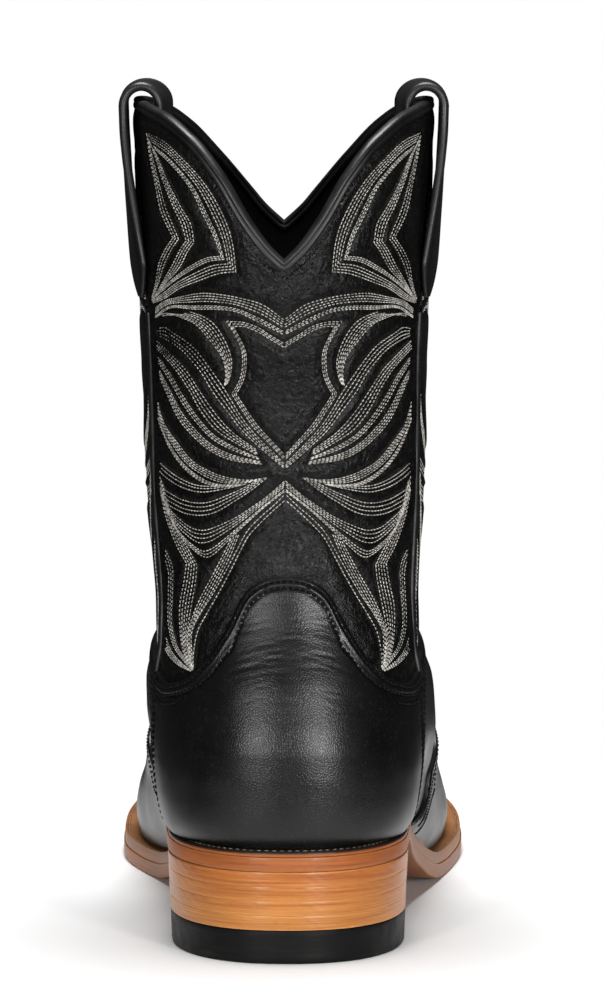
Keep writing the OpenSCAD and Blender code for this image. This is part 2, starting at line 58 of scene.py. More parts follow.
# ---------------------------------------------------------------- the boot's surface
SEAT_HEIGHT = 38
SOLE_TOP = [(0, SEAT_HEIGHT), (74, SEAT_HEIGHT), (90, 35.2), (110, 29.2), (135, 21.5), (160, 14),
            (180, 10.3), (200, 9.5), (225, 9.5), (250, 10.9), (280, 14.4), (310, 20)]
# Level, back, middle, front, share of the sole's drop, half-width at the ankle, at the ball outside and
# inside, waist outside and inside, squareness in front and behind, sideways shift
HOOPS = np.array([
    (38, 7.8, 63, 299.2, 1, 38, 60.5, 56.5, 0, 8, 4.4, 2.3, 0),
    (43, 6.2, 64, 299, 0.92, 41.1, 60.5, 56.8, 0, 6.6, 4.2, 2.3, 0),
    (50, 5.2, 65, 295.5, 0.78, 42.6, 59, 56, 0, 4.8, 3.7, 2.3, 0),
    (56, 4.7, 66, 286, 0.66, 43.5, 58, 54.5, 0, 3.5, 3.2, 2.3, 0),
    (62, 4.4, 66, 271, 0.54, 44.1, 58, 54.5, -2, 1, 2.8, 2.3, 0),
    (69, 4.4, 67, 252, 0.42, 44.4, 57, 53, -4, -1.5, 2.5, 2.3, 0),
    (76, 5.2, 68, 233, 0.3, 44.5, 55, 51.5, -4.4, -3, 2.3, 2.25, 0),
    (84, 6.9, 69, 212, 0.19, 44.8, 53.5, 51, -3.8, -3.2, 2.2, 2.2, 0),
    (92, 8.8, 70, 191, 0.1, 44.8, 50.5, 49, -1.8, -1.8, 2.1, 2.15, -0.1),
    (102, 12, 73, 171, 0.03, 44.2, 46.5, 46, 0, 0, 2.1, 2.1, -0.2),
    (113, 15.4, 76, 158, 0, 44.2, 44.2, 44.2, 0, 0, 2.05, 2.1, -0.3),
    (127, 17.8, 78, 148.5, 0, 45.2, 45.2, 45.2, 0, 0, 2.05, 2.05, -0.5),
    (147, 19.1, 79, 141, 0, 46.8, 46.8, 46.8, 0, 0, 2.05, 2.05, -0.8),
    (168, 18.3, 79, 139, 0, 47.7, 47.7, 47.7, 0, 0, 2.05, 2.05, -1),
    (195, 14.4, 78, 141, 0, 48.3, 48.3, 48.3, 0, 0, 2.05, 2.05, -1.2),
    (240, 7.4, 77, 146, 0, 49.7, 49.7, 49.7, 0, 0, 2.05, 2.05, -1.3),
    (300, 3.4, 76, 149, 0, 50.9, 50.9, 50.9, 0, 0, 2.05, 2.05, -1.4)])
SEAM = [(38, 86), (60, 84), (81, 78), (100, 73), (130, 69), (200, 67), (225, 69), (262, 79), (300, 84)]
BACK_SCALLOP = [(0, 0), (6, 0.1), (14, 0.28), (25, 0.57), (38, 0.8), (55, 0.945), (74, 0.99), (90, 1)]
FRONT_SCALLOP = [(0, 0), (8, 0.13), (14, 0.255), (27, 0.516), (42, 0.764), (55, 0.89), (74, 0.975),
                 (90, 1)]
COUNTER_TOP = [(0, 128.5), (5, 128.1), (10, 126.8), (17, 122.8), (21, 118), (25, 111.7), (30, 105.5),
               (35, 100), (41, 95.2), (50, 91.4), (62, 89.6), (71, 91.2), (80, 95.5)]
VAMP_TOP = [(70, 91), (80, 95.5), (100, 99), (125, 104), (148, 111), (162, 120), (171, 131), (176, 136),
            (180, 137.5)]
OVERLAY_TOP = [(103, 40.5), (108, 47), (112, 54.5), (118, 65), (128, 71), (145, 73), (162, 73), (172, 78),
               (178, 85), (180, 86)]
HEEL_SQUARENESS = 2.3
PEAK_HEIGHT = 285
BACK_DIP_HEIGHT = 234.4
FRONT_DIP_HEIGHT = 237.5
# Layers of the upper, measured outward from the outer face of the leg
LEATHER = 1.6
LAYER_GAP = 0.5
UPPER_IN = LAYER_GAP
UPPER_OUT = UPPER_IN + LEATHER
OVERLAY_IN = UPPER_OUT + LAYER_GAP
OVERLAY_OUT = OVERLAY_IN + 1.2
LINING_OUT = -LEATHER - LAYER_GAP
LINING_IN = LINING_OUT - 1.1
# How far the leg's top edge sinks into its binding, and how far a lapped edge sinks into the layer below
PANEL_DROP = 2.3
LAP = 0.6
# How far a panel reaches under the piece that covers its lower edge
UNDERLAP = 5


def end_slopes(xs, ys):
    """Slopes at the rows of a table that keep its curve from overshooting."""
    step = np.diff(ys, axis=0) / np.diff(xs).reshape((-1,) + (1,) * (ys.ndim - 1))
    product = step[:-1] * step[1:]
    total = np.where(product > 0, step[:-1] + step[1:], 1)
    inner = np.where(product > 0, 2 * product / total, 0)
    return np.concatenate([step[:1], inner, step[-1:]])


def hermite(xs, ys, slopes, x, clamp):
    i = np.clip(np.searchsorted(xs, x, side="right") - 1, 0, len(xs) - 2)
    h = xs[i + 1] - xs[i]
    s = (x - xs[i]) / h
    if clamp:
        s = np.clip(s, 0, 1)
    if ys.ndim > 1:
        s, h = s[..., None], h[..., None]
    return ((2 * s**3 - 3 * s**2 + 1) * ys[i] + (s**3 - 2 * s**2 + s) * h * slopes[i]
            + (3 * s**2 - 2 * s**3) * ys[i + 1] + (s**3 - s**2) * h * slopes[i + 1])


def curve(rows, x, column=1):
    table = np.asarray(rows, float)
    xs, ys = table[:, 0], table[:, column]
    return hermite(xs, ys, end_slopes(xs, ys), np.asarray(x, float), True)


HOOP_SLOPES = end_slopes(HOOPS[:, 0], HOOPS)


def hoop(level):
    """The columns of HOOPS at a level."""
    return np.moveaxis(hermite(HOOPS[:, 0], HOOPS, HOOP_SLOPES, np.asarray(level, float), False), -1, 0)


def mix(a, b, s):
    return a + (b - a) * s


def ease(x):
    s = np.clip(x, 0, 1)
    return s * s * (3 - 2 * s)


def unit(v):
    return v / np.maximum(np.linalg.norm(v, axis=-1, keepdims=True), 1e-12)


def sole_top(y):
    return curve(SOLE_TOP, y)


def ring_radius(angle, m):
    """Radius of a unit superellipse."""
    return (np.abs(np.cos(angle)) ** m + np.abs(np.sin(angle)) ** m) ** (-1 / m)


def half_width(h, u, outside):
    """Half width of a hoop in front of its middle, wide at the ball and pinched at the waist."""
    grown = mix(h[5], np.where(outside, h[6], h[7]), ease((u - 0.15) / 0.72))
    return grown - np.where(outside, h[8], h[9]) * np.where(u < 0.7, np.sin(math.pi * u / 0.7) ** 2, 0)


def face(level, angle):
    """Point of the upper's outer face; the angle is in degrees from the middle of the back."""
    level, angle = np.broadcast_arrays(np.asarray(level, float), np.asarray(angle, float))
    a = np.radians(angle)
    h = hoop(level)
    rear = np.cos(a) > 0
    r = ring_radius(a, np.where(rear, h[11], h[10]))
    u = -r * np.cos(a)
    w = np.where(rear, h[5], half_width(h, u, np.sin(a) > 0))
    y = h[2] + np.where(rear, h[2] - h[1], h[3] - h[2]) * u
    z = level + h[4] * (sole_top(y) - SEAT_HEIGHT)
    return np.stack([h[12] + w * r * np.sin(a), y, z], axis=-1)


def out(level, angle):
    """Outward normal of the upper."""
    step = 0.2
    across = face(level, angle + step) - face(level, angle - step)
    return unit(np.cross(across, face(level + step, angle) - face(level - step, angle)))


def skin(level, angle, depth):
    """Point a depth outside the upper's outer face."""
    return face(level, angle) + np.asarray(depth)[..., None] * out(level, angle)


def from_back(angle):
    """Unsigned angle from the middle of the back, 0 to 180."""
    wrapped = np.abs(angle)
    return np.where(wrapped > 180, 360 - wrapped, wrapped)


def seam(level):
    return curve(SEAM, level)


def top_level(angle):
    a = from_back(angle)
    back = mix(BACK_DIP_HEIGHT, PEAK_HEIGHT, curve(BACK_SCALLOP, a))
    front = mix(FRONT_DIP_HEIGHT, PEAK_HEIGHT, curve(FRONT_SCALLOP, 180 - a))
    return np.where(a < 90, back, front)


def panel_top(angle):
    """Level of the leg panels' top edge, square to the line of the binding."""
    step = face(top_level(angle + 1), angle + 1) - face(top_level(angle - 1), angle - 1)
    slope = step[..., 2] / np.hypot(step[..., 0], step[..., 1])
    return top_level(angle) - PANEL_DROP * np.sqrt(1 + slope**2)


def counter_top(angle):
    return curve(COUNTER_TOP, from_back(angle))


def vamp_top(angle):
    return curve(VAMP_TOP, from_back(angle))


def overlay_top(angle):
    return curve(OVERLAY_TOP, from_back(angle))


PIPED_GAP = 1.71
PLAIN_GAP = 0.285


def seam_gap(level):
    """Degrees from the seam to a panel's edge: wide round the piping, narrow in the plain seam above it."""
    return mix(PIPED_GAP, PLAIN_GAP, ease((level - 215) / 4))


def back_limit(level):
    return seam(level) - seam_gap(level)


def front_limit(level):
    return seam(level) + seam_gap(level)


FEATHER_GAP = 0.3


def feather(angle, depth):
    """Level of the upper's lower edge, just above the welt and the rand."""
    p = skin(np.full(np.shape(angle), float(SEAT_HEIGHT)), angle, depth)
    return SEAT_HEIGHT + FEATHER_GAP + np.maximum(0, sole_top(p[..., 1]) - p[..., 2])


# ---------------------------------------------------------------- meshes
def add_mesh(name, points, faces, material, sharp=40):
    """A mesh from points in millimetres and a list of face arrays, one array for each corner count."""
    points = np.asarray(points, float).reshape(-1, 3)
    faces = [np.asarray(f, dtype=np.int32) for f in faces if len(f)]
    corners = np.concatenate([f.ravel() for f in faces])
    counts = np.concatenate([np.full(len(f), f.shape[1], dtype=np.int32) for f in faces])
    starts = np.concatenate([[0], np.cumsum(counts)[:-1]]).astype(np.int32)
    mesh = bpy.data.meshes.new(name)
    mesh.vertices.add(len(points))
    mesh.vertices.foreach_set("co", ((points + PLACE) * MM).ravel())
    mesh.loops.add(len(corners))
    mesh.loops.foreach_set("vertex_index", corners)
    mesh.polygons.add(len(counts))
    mesh.polygons.foreach_set("loop_start", starts)
    mesh.update(calc_edges=True)
    mesh.validate()
    mesh.shade_smooth()
    if sharp:
        mesh.set_sharp_from_angle(angle=math.radians(sharp))
    mesh.materials.append(material)
    obj = bpy.data.objects.new(name, mesh)
    bpy.context.scene.collection.objects.link(obj)
    return obj


def index_grid(rows, cols, first=0):
    return np.arange(first, first + rows * cols).reshape(rows, cols)


def quads(ids):
    return np.stack([ids[:-1, :-1], ids[:-1, 1:], ids[1:, 1:], ids[1:, :-1]], axis=-1).reshape(-1, 4)


def closed_quads(ids):
    """Quads of a grid whose last column joins its first."""
    return quads(np.concatenate([ids, ids[:, :1]], axis=1))


def flipped(faces):
    return faces[:, ::-1]


def rim_faces(fine, coarse, step):
    """Faces between a fine edge and the coarse edge under it, step fine edges to each coarse one."""
    count = len(coarse) - 1
    over = np.stack([fine[k:k + count * step:step] for k in range(step + 1)], axis=1)
    return np.concatenate([over, coarse[1:, None], coarse[:-1, None]], axis=1)


def sheet_mesh(name, outer, inner, material):
    """A leather panel: a fine outer grid and a coarser inner one, closed round the rim."""
    step = (outer.shape[0] - 1) // (inner.shape[0] - 1)
    top = index_grid(*outer.shape[:2])
    low = index_grid(*inner.shape[:2], first=top.size)
    faces = [quads(top), flipped(quads(low)),
             flipped(rim_faces(top[0], low[0], step)), rim_faces(top[-1], low[-1], step),
             rim_faces(top[:, 0], low[:, 0], step), flipped(rim_faces(top[:, -1], low[:, -1], step))]
    return add_mesh(name, np.concatenate([outer.reshape(-1, 3), inner.reshape(-1, 3)]), faces, material)


def loft_mesh(name, rings, material, sharp=40):
    """A tube through rings of equal count; the rings turn so that the walls face outward."""
    rings = np.asarray(rings, float)
    ids = index_grid(*rings.shape[:2])
    return add_mesh(name, rings, [closed_quads(ids), ids[:1, ::-1], ids[-1:]], material, sharp)


def level_angle_grid(low, high, left, right, rows, cols, shares=None):
    """Levels and angles of a panel's grid between two edge lines and two side limits."""
    t = np.linspace(0, 1, rows)[:, None] * np.ones(cols)
    s = (np.linspace(0, 1, cols) if shares is None else shares) * np.ones((rows, 1))
    level = np.full(t.shape, 170.0)
    for _ in range(5):
        angle = mix(left(level), right(level), s)
        level = mix(low(angle), high(angle), t)
    return level, mix(left(level), right(level), s)


# ---------------------------------------------------------------- lines on the surface, and thread
def travelled(points):
    """Distance along a line at each of its points."""
    return np.concatenate([[0], np.cumsum(np.linalg.norm(np.diff(points, axis=0), axis=1))])


def smooth_line(points, spacing=0.5):
    """A Catmull-Rom curve through points, sampled evenly."""
    p = np.asarray(points, float)
    if len(p) < 3:
        samples = mix(p[:1], p[-1:], np.linspace(0, 1, 40)[:, None])
    else:
        ends = np.concatenate([[2 * p[0] - p[1]], p, [2 * p[-1] - p[-2]]])
        t = np.linspace(0, 1, 12, endpoint=False)[:, None]
        pieces = [0.5 * (2 * b + (c - a) * t + (2 * a - 5 * b + 4 * c - d) * t**2
                         + (3 * b - a - 3 * c + d) * t**3)
                  for a, b, c, d in zip(ends, ends[1:], ends[2:], ends[3:])]
        samples = np.concatenate(pieces + [p[-1:]])
    return even(samples, max(2, int(travelled(samples)[-1] / spacing)))


def even(points, count):
    """The same line with count points, evenly spaced."""
    distance = travelled(points)
    at = np.linspace(0, distance[-1], count)
    return np.stack([np.interp(at, distance, column) for column in points.T], axis=1)


def fan(first, last, rows):
    """Rows of stitching between two lines, as an even count or as shares of the way across. A line is a
    list of smooth parts that meet at corners, and both lines have the same number of parts."""
    parts = [(even(smooth_line(a), 60), even(smooth_line(b), 60)) for a, b in zip(first, last)]
    shares = np.linspace(0, 1, rows) if isinstance(rows, int) else rows
    return [np.concatenate([mix(a, b, share) for a, b in parts]) for share in shares]


shift = np.random.default_rng(5)
BARE_END = 0.3


def stitches(points, normals, pitch):
    """Centre, direction and normal of each stitch along a line."""
    distance = travelled(points)
    sewn_length = distance[-1] - 2 * BARE_END
    count = int(sewn_length / pitch)
    if count < 1:
        return np.zeros((0, 3, 3))
    at = BARE_END + (np.arange(count) + shift.uniform(0.2, 0.8)) * sewn_length / count

    def sample(values, where):
        return np.stack([np.interp(where, distance, column) for column in values.T], axis=1)

    ahead = sample(points, at + pitch * 0.3) - sample(points, at - pitch * 0.3)
    return np.stack([sample(points, at), unit(ahead), unit(sample(normals, at))], axis=1)


THREAD_SINK = 0.25
THREAD_SIDES = 5


def stitch_mesh(name, rows, length, radius, material):
    """Each stitch is a short bar of thread whose ends dip into the leather."""
    rows = np.concatenate(rows)
    centre, along, normal = rows[:, 0], rows[:, 1], rows[:, 2]
    side = unit(np.cross(along, normal))
    up = np.cross(side, along)
    reach = np.array([-0.5, -0.27, 0.27, 0.5]) * length
    lift = np.array([-THREAD_SINK, radius * 0.4, radius * 0.4, -THREAD_SINK])
    size = np.array([0.6, 1, 1, 0.6]) * radius
    turn = np.arange(THREAD_SIDES) * 2 * math.pi / THREAD_SIDES
    spine = centre[:, None] + reach[:, None] * along[:, None] + lift[:, None] * up[:, None]
    ring = np.cos(turn)[:, None] * side[:, None] + np.sin(turn)[:, None] * up[:, None]
    points = spine[:, :, None] + size[:, None, None] * ring[:, None]
    ids = np.arange(points.size // 3).reshape(len(rows), 4, THREAD_SIDES)
    wrapped = np.concatenate([ids, ids[:, :, :1]], axis=2)
    walls = np.stack([wrapped[:, :-1, 1:], wrapped[:, :-1, :-1], wrapped[:, 1:, :-1], wrapped[:, 1:, 1:]],
                     axis=-1).reshape(-1, 4)
    return add_mesh(name, points, [flipped(walls), ids[:, 0, ::-1], ids[:, 3]], material, sharp=None)


def distances(points, lines):
    """Distance of each point to the nearest point of any line."""
    targets = np.concatenate(lines)
    tree = KDTree(len(targets))
    for i, p in enumerate(targets):
        tree.insert(p, i)
    tree.balance()
    flat = points.reshape(-1, 3)
    return np.array([tree.find(p)[2] for p in flat]).reshape(points.shape[:-1])


def creases(x, z, strokes):
    """Sum of soft grooves. A stroke is its middle, direction in degrees, half length, half width, depth."""
    total = np.zeros(np.shape(x))
    for cx, cz, turn, reach, wide, depth in strokes:
        c, s = math.cos(math.radians(turn)), math.sin(math.radians(turn))
        along = (x - cx) * c + (z - cz) * s
        across = -(x - cx) * s + (z - cz) * c + 0.012 * along**2 * math.sin(cx * 3 + cz)
        total -= depth * np.exp(-(along / reach) ** 2 - (across / wide) ** 2)
    return total


# ---------------------------------------------------------------- materials
# Heights of a noise between which one patch passes into the next
PATCH = (0.3, 0.7)


class Shader:
    """A Principled material with short ways to add procedural detail to it."""

    def __init__(self, name, **values):
        self.material = bpy.data.materials.new(name)
        self.material.use_nodes = True
        self.tree = self.material.node_tree
        self.bsdf = self.tree.nodes["Principled BSDF"]
        for key, value in values.items():
            self.bsdf.inputs[key.replace("_", " ").title().replace("Ior", "IOR")].default_value = value
        self.place = self.tree.nodes.new("ShaderNodeTexCoord").outputs["Object"]
        self.normal = None

    def put(self, socket, value):
        if isinstance(value, bpy.types.NodeSocket):
            self.tree.links.new(value, socket)
        else:
            socket.default_value = value

    def stretched(self, stretch):
        node = self.tree.nodes.new("ShaderNodeMapping")
        node.inputs["Scale"].default_value = stretch
        self.put(node.inputs["Vector"], self.place)
        return node.outputs["Vector"]

    def noise(self, scale, detail=3.0, rough=0.5, stretch=(1, 1, 1), twist=0.0):
        node = self.tree.nodes.new("ShaderNodeTexNoise")
        self.put(node.inputs["Vector"], self.stretched(stretch))
        for key, value in (("Scale", scale), ("Detail", detail), ("Roughness", rough), ("Distortion", twist)):
            node.inputs[key].default_value = value
        return node.outputs["Fac"]

    def cells(self, scale, feature="DISTANCE_TO_EDGE"):
        node = self.tree.nodes.new("ShaderNodeTexVoronoi")
        node.feature = feature
        self.put(node.inputs["Vector"], self.place)
        node.inputs["Scale"].default_value = scale
        return node.outputs["Distance"]

    def spread(self, value, low, high, to_low=0.0, to_high=1.0):
        node = self.tree.nodes.new("ShaderNodeMapRange")
        self.put(node.inputs["Value"], value)
        for key, number in (("From Min", low), ("From Max", high), ("To Min", to_low), ("To Max", to_high)):
            node.inputs[key].default_value = number
        return node.outputs["Result"]

    def blend(self, fac, a, b):
        node = self.tree.nodes.new("ShaderNodeMix")
        node.data_type = "RGBA"
        self.put(node.inputs["Factor"], fac)
        for socket, value in ((node.inputs["A"], a), (node.inputs["B"], b)):
            self.put(socket, value if isinstance(value, bpy.types.NodeSocket) else (*value, 1))
        return node.outputs["Result"]

    def along(self, axis):
        """Position along one axis of the row frame, in metres."""
        node = self.tree.nodes.new("ShaderNodeSeparateXYZ")
        self.put(node.inputs["Vector"], self.place)
        return node.outputs[axis]

    def edges(self, low=0.48, high=0.56):
        """1 on worn convex edges, 0 elsewhere."""
        node = self.tree.nodes.new("ShaderNodeNewGeometry")
        return self.spread(node.outputs["Pointiness"], low, high)

    def colour(self, value):
        self.put(self.bsdf.inputs["Base Color"], value)

    def roughness(self, value):
        self.put(self.bsdf.inputs["Roughness"], value)

    def mottle(self, scale, detail, low, high, a, b):
        """Two colours in patches."""
        return self.blend(self.spread(self.noise(scale, detail), low, high), a, b)

    def uneven(self, scale, detail, smooth, rough):
        """Shine that wanders between two roughnesses."""
        self.roughness(self.spread(self.noise(scale, detail), *PATCH, smooth, rough))

    def bump(self, height, depth_mm, strength=1.0):
        node = self.tree.nodes.new("ShaderNodeBump")
        node.inputs["Strength"].default_value = strength
        node.inputs["Distance"].default_value = depth_mm * MM
        self.put(node.inputs["Height"], height)
        if self.normal:
            self.put(node.inputs["Normal"], self.normal)
        self.normal = node.outputs["Normal"]
        self.put(self.bsdf.inputs["Normal"], self.normal)


def grain(shader, cell_mm, depth_mm):
    """Leather grain: small irregular pebbles with fine pores between them."""
    pebbles = shader.cells(1000 / cell_mm)
    shader.bump(shader.spread(pebbles, 0.0, 0.22), depth_mm, 0.8)
    shader.bump(shader.noise(2600, 2), depth_mm * 0.4, 0.5)


def wrinkles(shader, size_mm, depth_mm):
    """Tumbled leather: shallow wandering folds between soft mounds of uneven size."""
    folds = shader.noise(1000 / size_mm, 4, 0.62, twist=1.6)
    shader.bump(shader.spread(folds, 0.30, 0.62), depth_mm, 0.9)


def shaft_leather():
    s = Shader("shaft_leather", roughness=0.4, specular_ior_level=0.24)
    tone = s.mottle(45, 4, *PATCH, (0.0022, 0.0021, 0.0020), (0.0060, 0.0057, 0.0054))
    s.colour(s.mottle(700, 3, 0.55, 0.8, tone, (0.018, 0.017, 0.016)))
    s.uneven(90, 4, 0.24, 0.36)
    wrinkles(s, 7, 0.40)
    wrinkles(s, 2.4, 0.14)
    grain(s, 0.9, 0.015)
    return s.material


def foot_leather():
    s = Shader("foot_leather", roughness=0.4, specular_ior_level=0.42)
    tone = s.mottle(40, 4, *PATCH, (0.0018, 0.0017, 0.0016), (0.0042, 0.0040, 0.0038))
    s.colour(s.mottle(600, 3, 0.58, 0.8, tone, (0.012, 0.0113, 0.0106)))
    s.uneven(70, 4, 0.30, 0.40)
    s.bump(s.noise(120, 2), 0.05, 0.6)
    grain(s, 0.9, 0.032)
    return s.material


def plain_leather(name, roughness, shine, patches, dark, light, wander, pebbles):
    """Leather in two close tones, with an even grain."""
    s = Shader(name, roughness=roughness, specular_ior_level=shine)
    s.colour(s.mottle(*patches, dark, light))
    s.uneven(*wander)
    grain(s, *pebbles)
    return s.material


def strap_leather():
    s = Shader("strap_leather", roughness=0.45, specular_ior_level=0.5)
    tone = s.mottle(60, 4, *PATCH, (0.004, 0.0039, 0.0038), (0.009, 0.0086, 0.0082))
    s.colour(s.blend(s.edges(0.52, 0.60), tone, (0.022, 0.021, 0.020)))
    s.uneven(100, 3, 0.34, 0.5)
    grain(s, 0.7, 0.018)
    return s.material


def lining_leather():
    s = Shader("lining_leather", roughness=0.65, specular_ior_level=0.35)
    tone = s.mottle(35, 5, *PATCH, (0.50, 0.33, 0.19), (0.62, 0.45, 0.28))
    s.colour(s.mottle(500, 3, 0.5, 0.8, tone, (0.42, 0.27, 0.15)))
    s.uneven(60, 3, 0.55, 0.75)
    grain(s, 0.8, 0.05)
    return s.material


def stiffener_leather():
    s = Shader("stiffener_leather", roughness=0.8, specular_ior_level=0.3)
    s.colour(s.mottle(90, 5, *PATCH, (0.30, 0.19, 0.11), (0.40, 0.27, 0.16)))
    s.uneven(300, 3, 0.7, 0.9)
    s.bump(s.noise(900, 4), 0.08, 0.7)
    return s.material


STREAKS = (0.32, 0.68)


def streaked(name, dark, light, edge, roughness, sheets_per_metre, second=None, where=None):
    """Cut and stained leather edge: thin level streaks, darker pores and a lighter worn rim. A second
    dark and light colour take over below a place on an axis, given as the axis and two positions."""
    s = Shader(name, roughness=roughness, specular_ior_level=0.3, coat_weight=0.1, coat_roughness=0.25)
    streaks = s.noise(1.0, 4, 0.6, stretch=(28, 28, sheets_per_metre))
    fac = s.spread(streaks, *STREAKS)
    tone = s.blend(fac, dark, light)
    if second:
        axis, low, high = where
        tone = s.blend(s.spread(s.along(axis), low, high), s.blend(fac, *second), tone)
    pores = s.spread(s.noise(1.0, 3, 0.6, stretch=(260, 260, 900)), 0.60, 0.80, 0, 0.4)
    tone = s.blend(pores, tone, tuple(c * 0.8 for c in dark))
    tone = s.blend(s.spread(s.noise(28, 3), 0.35, 0.75, 0, 0.25), tone, dark)
    s.colour(s.blend(s.edges(0.51, 0.60), tone, edge))
    s.roughness(s.spread(streaks, *PATCH, roughness - 0.06, roughness + 0.10))
    s.bump(streaks, 0.08, 0.6)
    s.bump(s.noise(1400, 2), 0.03, 0.5)
    return s.material


def lift_leather():
    """Redder at the top of the stack and yellower at the bottom."""
    top_of_stack = ((0.27, 0.062, 0.010), (0.51, 0.160, 0.029))
    bottom_of_stack = ((0.34, 0.115, 0.020), (0.57, 0.245, 0.052))
    return streaked("lift_leather", *top_of_stack, (0.66, 0.30, 0.10), 0.34, 1500, bottom_of_stack,
                    ("Z", 0.012, 0.034))


def outsole_leather():
    """Plain brown at the forefoot, and stained like the stack behind the waist."""
    forefoot = ((0.16, 0.047, 0.013), (0.35, 0.130, 0.038))
    heel = ((0.25, 0.060, 0.011), (0.44, 0.125, 0.026))
    return streaked("outsole_leather", *forefoot, (0.40, 0.18, 0.06), 0.5, 1100, heel, ("Y", -0.084, -0.070))


def welt_leather():
    return streaked("welt_leather", (0.15, 0.048, 0.015), (0.33, 0.130, 0.042), (0.38, 0.18, 0.07), 0.5, 900)


def rand_leather():
    """Stained like the stack at its rim, and near black along its top, next to the upper."""
    s = Shader("rand_leather", roughness=0.42, specular_ior_level=0.3)
    streaks = s.noise(1.0, 4, 0.6, stretch=(28, 28, 900))
    rim = s.blend(s.spread(streaks, *STREAKS), (0.24, 0.058, 0.011), (0.42, 0.125, 0.027))
    s.colour(s.blend(s.spread(s.along("Z"), 0.0366, 0.0374), rim, (0.010, 0.006, 0.004)))
    s.roughness(s.spread(streaks, *PATCH, 0.38, 0.5))
    s.bump(streaks, 0.08, 0.6)
    return s.material


def cap_rubber():
    s = Shader("cap_rubber", roughness=0.6, specular_ior_level=0.12)
    tone = s.mottle(55, 4, *PATCH, (0.0022, 0.0021, 0.0020), (0.0048, 0.0046, 0.0044))
    s.colour(s.blend(s.spread(s.noise(1.0, 4, 0.6, stretch=(60, 60, 700)), 0.55, 0.8), tone,
                     (0.013, 0.012, 0.011)))
    s.uneven(180, 3, 0.4, 0.55)
    s.bump(s.noise(1100, 3), 0.02, 0.6)
    return s.material


def thread(name, dark, light, roughness, shine=0.4):
    """Twisted thread: fine slanting plies."""
    s = Shader(name, roughness=roughness, specular_ior_level=shine)
    s.colour(s.mottle(480, 2, 0.36, 0.64, dark, light))
    s.uneven(400, 2, roughness - 0.08, roughness + 0.08)
    s.bump(s.noise(1.0, 2, 0.5, stretch=(2600, 2600, 2600)), 0.05, 0.6)
    return s.material


def metal(name, colour, roughness):
    s = Shader(name, roughness=roughness, metallic=1.0)
    s.colour(s.mottle(300, 4, *PATCH, colour, tuple(c * 0.7 for c in colour)))
    s.uneven(500, 4, roughness - 0.1, roughness + 0.15)
    s.bump(s.noise(1.0, 3, 0.5, stretch=(1500, 200, 1500)), 0.02, 0.5)
    return s.material


def peg_wood():
    s = Shader("peg_wood", roughness=0.7, specular_ior_level=0.3)
    fibres = s.noise(1.0, 4, 0.6, stretch=(2500, 2500, 120))
    s.colour(s.blend(fibres, (0.42, 0.29, 0.15), (0.62, 0.47, 0.28)))
    s.uneven(700, 3, 0.6, 0.8)
    s.bump(s.noise(1.0, 3, 0.5, stretch=(3000, 3000, 150)), 0.05, 0.6)
    return s.material


def cork():
    s = Shader("cork", roughness=0.85, specular_ior_level=0.25)
    crumbs = s.cells(420, feature="F1")
    s.colour(s.blend(s.spread(crumbs, 0.1, 0.6), (0.50, 0.31, 0.16), (0.24, 0.13, 0.065)))
    s.roughness(s.spread(crumbs, 0.1, 0.6, 0.75, 0.95))
    s.bump(crumbs, 0.3, 0.7)
    return s.material


def floor_paper():
    s = Shader("floor_paper", roughness=0.9, specular_ior_level=0.1)
    s.colour(s.blend(s.noise(12, 3), (0.86, 0.86, 0.86), (0.90, 0.90, 0.90)))
    s.uneven(40, 3, 0.85, 0.95)
    return s.material


SHAFT = shaft_leather()
FOOT = foot_leather()
TRIM = plain_leather("trim_leather", 0.4, 0.5, (120, 4, 0.35, 0.7), (0.005, 0.0048, 0.0046),
                     (0.012, 0.0115, 0.011), (150, 3, 0.34, 0.5), (0.5, 0.015))
STRAP = strap_leather()
LINING = lining_leather()
LEG_LINING = plain_leather("leg_lining_leather", 0.7, 0.1, (35, 5, *PATCH), (0.0025, 0.0024, 0.0023),
                           (0.005, 0.0048, 0.0046), (60, 3, 0.6, 0.8), (0.8, 0.05))
LIFT = lift_leather()
SOLE = outsole_leather()
WELT = welt_leather()
RAND = rand_leather()
RUBBER = cap_rubber()
PALE_THREAD = thread("pale_thread", (0.30, 0.285, 0.26), (0.80, 0.77, 0.71), 0.55)
BLACK_THREAD = thread("black_thread", (0.002, 0.002, 0.002), (0.006, 0.0058, 0.0056), 0.6, 0.12)
WELT_THREAD = thread("welt_thread", (0.15, 0.075, 0.038), (0.27, 0.145, 0.078), 0.6)
SEAT_THREAD = thread("seat_thread", (0.10, 0.070, 0.048), (0.30, 0.23, 0.17), 0.6)


def settle(piece, slot, *nodes):
    """The piece rides on the boot and stands for its CAD nodes. The slot is not used."""
    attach(piece, "boot")
    if nodes:
        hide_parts(*nodes)
    return piece


